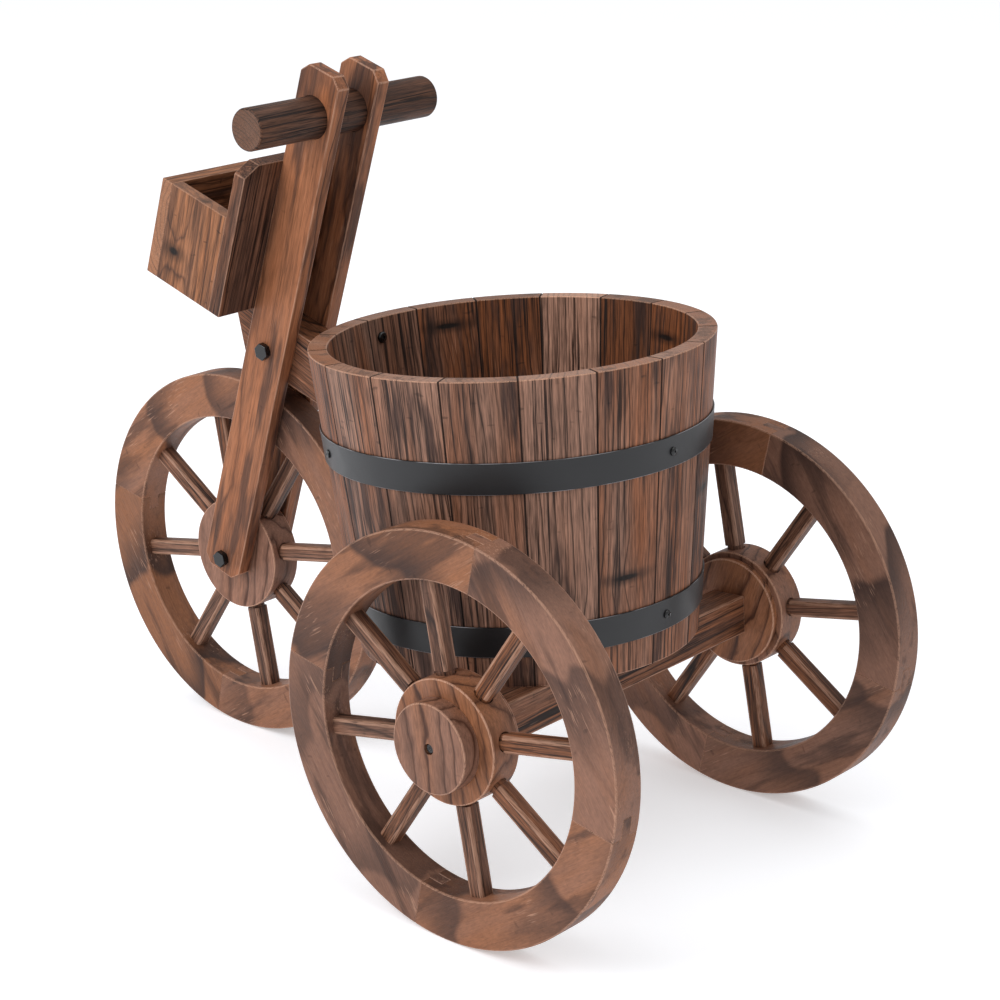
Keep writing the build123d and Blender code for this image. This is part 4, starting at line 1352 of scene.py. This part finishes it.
class PLANTER_OT_bolts(bpy.types.Operator):
    """Cross bolts of the fork, their nuts, and the washers beside the front hub"""

    bl_idname = "planter.add_bolts"
    bl_label = "Bolts"

    def execute(self, context):
        fork = context.scene.planter_fork
        sizes = context.scene.planter_hardware
        hex_bolt("front_axle_bolt", 0, sizes, fork)
        hex_bolt("neck_bolt", fork.neck_height, sizes, fork)

        nuts = new_mesh()
        face = fork.blade_gap / 2 + fork.blade_thickness
        for height in (0, fork.neck_height):
            place = Matrix.Translation((0, 0, height))
            hexagon(nuts, sizes.head_flats, face, face + sizes.nut_height, sizes.head_ease, place)
        finish_bolt(nuts, "lock_nuts", FORK)

        washers = new_mesh()
        inner = HUB_WIDTH / 2 + sizes.end_play
        outer = fork.blade_gap / 2
        bore = sizes.bolt_diameter / 2 + sizes.end_play
        rim = sizes.washer_diameter / 2
        for turn in BOTH_WAYS:
            turned(washers, ((bore, inner), (rim, inner), (rim, outer), (bore, outer)),
                   WASHER_STEPS, Matrix.Rotation(turn, 4, "Y"))
        finish_bolt(washers, "hub_washers", Matrix.Translation(FRONT_AXLE))
        return {"FINISHED"}


def screw_seats(barrel, fork, box, sizes, box_place):
    """Frames on the heads of the long screws, with z out of the wood."""
    seats = []
    for side in (-1, 1):
        under = BEAM @ Matrix.Translation((side * barrel.bottom_diameter / 4, 0, 0))
        seats.append(under @ Matrix.Translation((0, 0, -fork.beam_side / 2))
                     @ Matrix.Rotation(pi, 4, "X"))
        across = side * (fork.blade_gap + fork.blade_thickness) / 2
        for height in (sizes.box_screw_low, sizes.box_screw_high):
            seats.append(box_place @ Matrix.Translation((across, box.board, height))
                         @ Matrix.Rotation(-pi / 2, 4, "X"))
    head = sizes.wood_screw_head / 2
    for drop in (sizes.neck_screw_high, sizes.neck_screw_low):
        wall = barrel_radius(barrel, drop + head, barrel.stave_thickness)
        hollow = wall - (wall ** 2 - head ** 2) ** 0.5
        place = Matrix.Translation((0, wall - hollow - sizes.wood_screw_height,
                                    barrel.height - drop))
        seats.append(barrel_frame(barrel) @ place @ Matrix.Rotation(pi / 2, 4, "X"))
    return seats


def box_frame(fork, box):
    """Frame at the foot of the box's back board."""
    return FORK @ Matrix.Translation((0, fork.blade_width / 2, BOX_FLOOR.z - box.board))


class PLANTER_OT_wood_screws(bpy.types.Operator):
    """Long screws through the beam, the barrel's front wall and the box's back board"""

    bl_idname = "planter.add_wood_screws"
    bl_label = "Wood screws"

    def execute(self, context):
        scene = context.scene
        sizes = scene.planter_hardware
        place = box_frame(scene.planter_fork, scene.planter_box)
        mesh = new_mesh()
        head = sizes.wood_screw_head / 2
        tall = sizes.wood_screw_height
        shank = sizes.wood_screw_shank / 2
        for seat in screw_seats(scene.planter_barrel, scene.planter_fork, scene.planter_box,
                                sizes, place):
            end = -tall - sizes.wood_screw_length
            profile = [(0, end), (shank, end + shank), (shank, -tall)]
            profile += [(head * wide, tall * high) for wide, high in WOOD_SCREW_DOME]
            turned(mesh, profile, SCREW_STEPS, seat)
        finish_bolt(mesh, "wood_screws", Matrix())
        return {"FINISHED"}


# ---- box -------------------------------------------------------------------------------
SWAP_X_AND_Y = Matrix(((0, 1, 0, 0), (1, 0, 0, 0), (0, 0, 1, 0), (0, 0, 0, 1)))
UPRIGHT = Vector((0, 0.03, 1))
BOX_KNOT = Vector((0, 0.018, -0.012))
PITH_BEHIND = 0.045


class PLANTER_OT_box(bpy.types.Operator):
    """Open box on the fork: back board, two sides, front and floor"""

    bl_idname = "planter.add_box"
    bl_label = "Box"

    def execute(self, context):
        sizes = context.scene.planter_box
        fork = context.scene.planter_fork
        place = box_frame(fork, sizes)
        half = sizes.width / 2
        board = sizes.board
        gap = context.scene.planter_barrel.glue_line
        back = sizes.back_height
        mesh = plank((
            (-half, 0), (half, 0), (half, back - sizes.clip_down),
            (half - sizes.clip_across, back), (sizes.clip_across - half, back),
            (-half, back - sizes.clip_down),
        ), 0, board)
        bmesh.ops.transform(mesh, matrix=SWAP_X_AND_Y, verts=mesh.verts[:])
        bmesh.ops.recalc_face_normals(mesh, faces=mesh.faces[:])
        rounded(mesh, sharp_edges(mesh), sizes.edge)
        lay_grain(mesh, *GRAINS["box_back"])
        finish_wood(mesh, "box_back", place, "scorched_fir")

        front_low = sizes.depth - board
        inner_low = board + gap
        inner_high = front_low - gap
        walls = {
            "box_front": ((-half, front_low, 0), (half, sizes.depth, sizes.height), RIGHT),
            "box_left": ((-half, inner_low, 0), (board - half, inner_high, sizes.height),
                         UPRIGHT),
            "box_right": ((half - board, inner_low, 0), (half, inner_high, sizes.height),
                          UPRIGHT),
            "box_floor": ((board + gap - half, inner_low, 0),
                          (half - board - gap, inner_high, board), RIGHT),
        }
        for node, (low, high, along) in walls.items():
            luck = lucky(node)
            mesh = new_mesh()
            block(mesh, low, high)
            rounded(mesh, mesh.edges[:], sizes.edge)
            rub_ends(mesh, along)
            centre = (Vector(low) + Vector(high)) / 2
            across = Vector((0, 1, 0)) if node != "box_front" else Vector((0, 0, 1))
            pith = centre + along * luck.uniform(-2, 2) + across * luck.uniform(0.01, 0.03)
            pith += along.cross(across) * PITH_BEHIND
            knot = centre + BOX_KNOT - RIGHT * board / 2
            lay_grain(mesh, along, across, pith, BOX_MOOD, knot)
            finish_wood(mesh, node, place, "box_fir")
        return {"FINISHED"}


# ---- stage -----------------------------------------------------------------------------
# The two lights: where they hang from the middle of the planter, and the side of each.
KEY_LIGHT = (Vector((-2.2, 0.9, 1.7)), 2.0)
FILL_LIGHT = (Vector((0.4, -0.9, 2.6)), 2.4)
PAPER = (0.86, 0.88, 0.92)


def area_light(name, target, offset, side, power):
    """A large soft square light that hangs off to one side of its target."""
    lamp = bpy.data.lights.new(name, "AREA")
    lamp.shape = "SQUARE"
    lamp.size = side
    lamp.energy = power
    light = bpy.data.objects.new(name, lamp)
    light.location = target + offset
    light.rotation_euler = (-offset).to_track_quat("-Z", "Y").to_euler()
    bpy.context.scene.collection.objects.link(light)


def floor_finish():
    """Matt white paper with a trace of unevenness."""
    material, graph = new_graph("white_floor")
    place = graph.node("ShaderNodeTexCoord", (), (), "Object")
    cloud = place.noise((2, 2, 2), 2)
    white = colour_value(graph, PAPER)
    close_graph(graph, {
        "Base Color": white.tinted(0.99 + cloud * 0.02),
        "Roughness": 0.9,
        "Specular IOR Level": 0.05,
        "Emission Color": (1, 1, 1, 1),
        "Emission Strength": bpy.context.scene.planter_stage.glow,
    })
    return material


class PLANTER_OT_stage(bpy.types.Operator):
    """White floor, soft light and the camera"""

    bl_idname = "planter.add_stage"
    bl_label = "Stage"

    def execute(self, context):
        scene = context.scene
        sizes = scene.planter_stage
        mesh = bmesh.new()
        bmesh.ops.create_grid(mesh, x_segments=1, y_segments=1, size=sizes.floor / 2)
        floor = bare_object("floor", mesh)
        floor.data.materials.append(floor_finish())

        centre = (Vector(CAD_BOX[0]) + Vector(CAD_BOX[1])) / 2
        area_light("key_light", centre, *KEY_LIGHT, sizes.key)
        area_light("top_light", centre, *FILL_LIGHT, sizes.fill)

        world = bpy.data.worlds.new("daylight")
        world.use_nodes = True
        background = world.node_tree.nodes["Background"]
        background.inputs["Color"].default_value = (1, 1, 1, 1)
        background.inputs["Strength"].default_value = sizes.daylight
        scene.world = world

        camera = bpy.data.objects.new("camera", bpy.data.cameras.new("camera"))
        camera.data.lens = sizes.lens
        camera.location = sizes.camera_place
        camera.rotation_euler = sizes.camera_turn
        scene.collection.objects.link(camera)
        scene.camera = camera
        scene.view_settings.view_transform = "Standard"
        return {"FINISHED"}


class PLANTER_PT_sidebar(bpy.types.Panel):
    """The pieces of the planter, one button each"""

    bl_idname = "PLANTER_PT_sidebar"
    bl_label = "Tricycle planter"
    bl_space_type = "VIEW_3D"
    bl_region_type = "UI"
    bl_category = "Planter"

    def draw(self, context):
        for group in GROUPS:
            settings = getattr(context.scene, group)
            box = self.layout.box()
            for name in settings.bl_rna.properties.keys():
                if name not in ("rna_type", "name"):
                    box.prop(settings, name)
        for operator in OPERATORS:
            self.layout.operator(operator.bl_idname)


GROUPS = {
    "planter_wheels": WheelSizes,
    "planter_barrel": BarrelSizes,
    "planter_fork": ForkSizes,
    "planter_box": BoxSizes,
    "planter_hardware": HardwareSizes,
    "planter_finish": Finish,
    "planter_stage": StageSizes,
}
OPERATORS = (
    PLANTER_OT_felloes,
    PLANTER_OT_spokes,
    PLANTER_OT_hubs,
    PLANTER_OT_axle,
    PLANTER_OT_staves,
    PLANTER_OT_barrel_bottom,
    PLANTER_OT_hoops,
    PLANTER_OT_fork_blades,
    PLANTER_OT_handlebar,
    PLANTER_OT_neck,
    PLANTER_OT_bolts,
    PLANTER_OT_wood_screws,
    PLANTER_OT_box,
    PLANTER_OT_stage,
)


def register():
    """Registers the classes and hangs the settings on the scene."""
    for group in (*GROUPS.values(), *OPERATORS, PLANTER_PT_sidebar):
        bpy.utils.register_class(group)
    for name, group in GROUPS.items():
        setattr(bpy.types.Scene, name, bpy.props.PointerProperty(type=group))


def unregister():
    """Takes the settings and the classes away again."""
    for name in GROUPS:
        delattr(bpy.types.Scene, name)
    for group in reversed((*GROUPS.values(), *OPERATORS, PLANTER_PT_sidebar)):
        bpy.utils.unregister_class(group)


def main():
    """Builds every piece."""
    register()
    for operator in OPERATORS:
        group, name = operator.bl_idname.split(".")
        getattr(getattr(bpy.ops, group), name)()


if __name__ == "__main__":
    main()
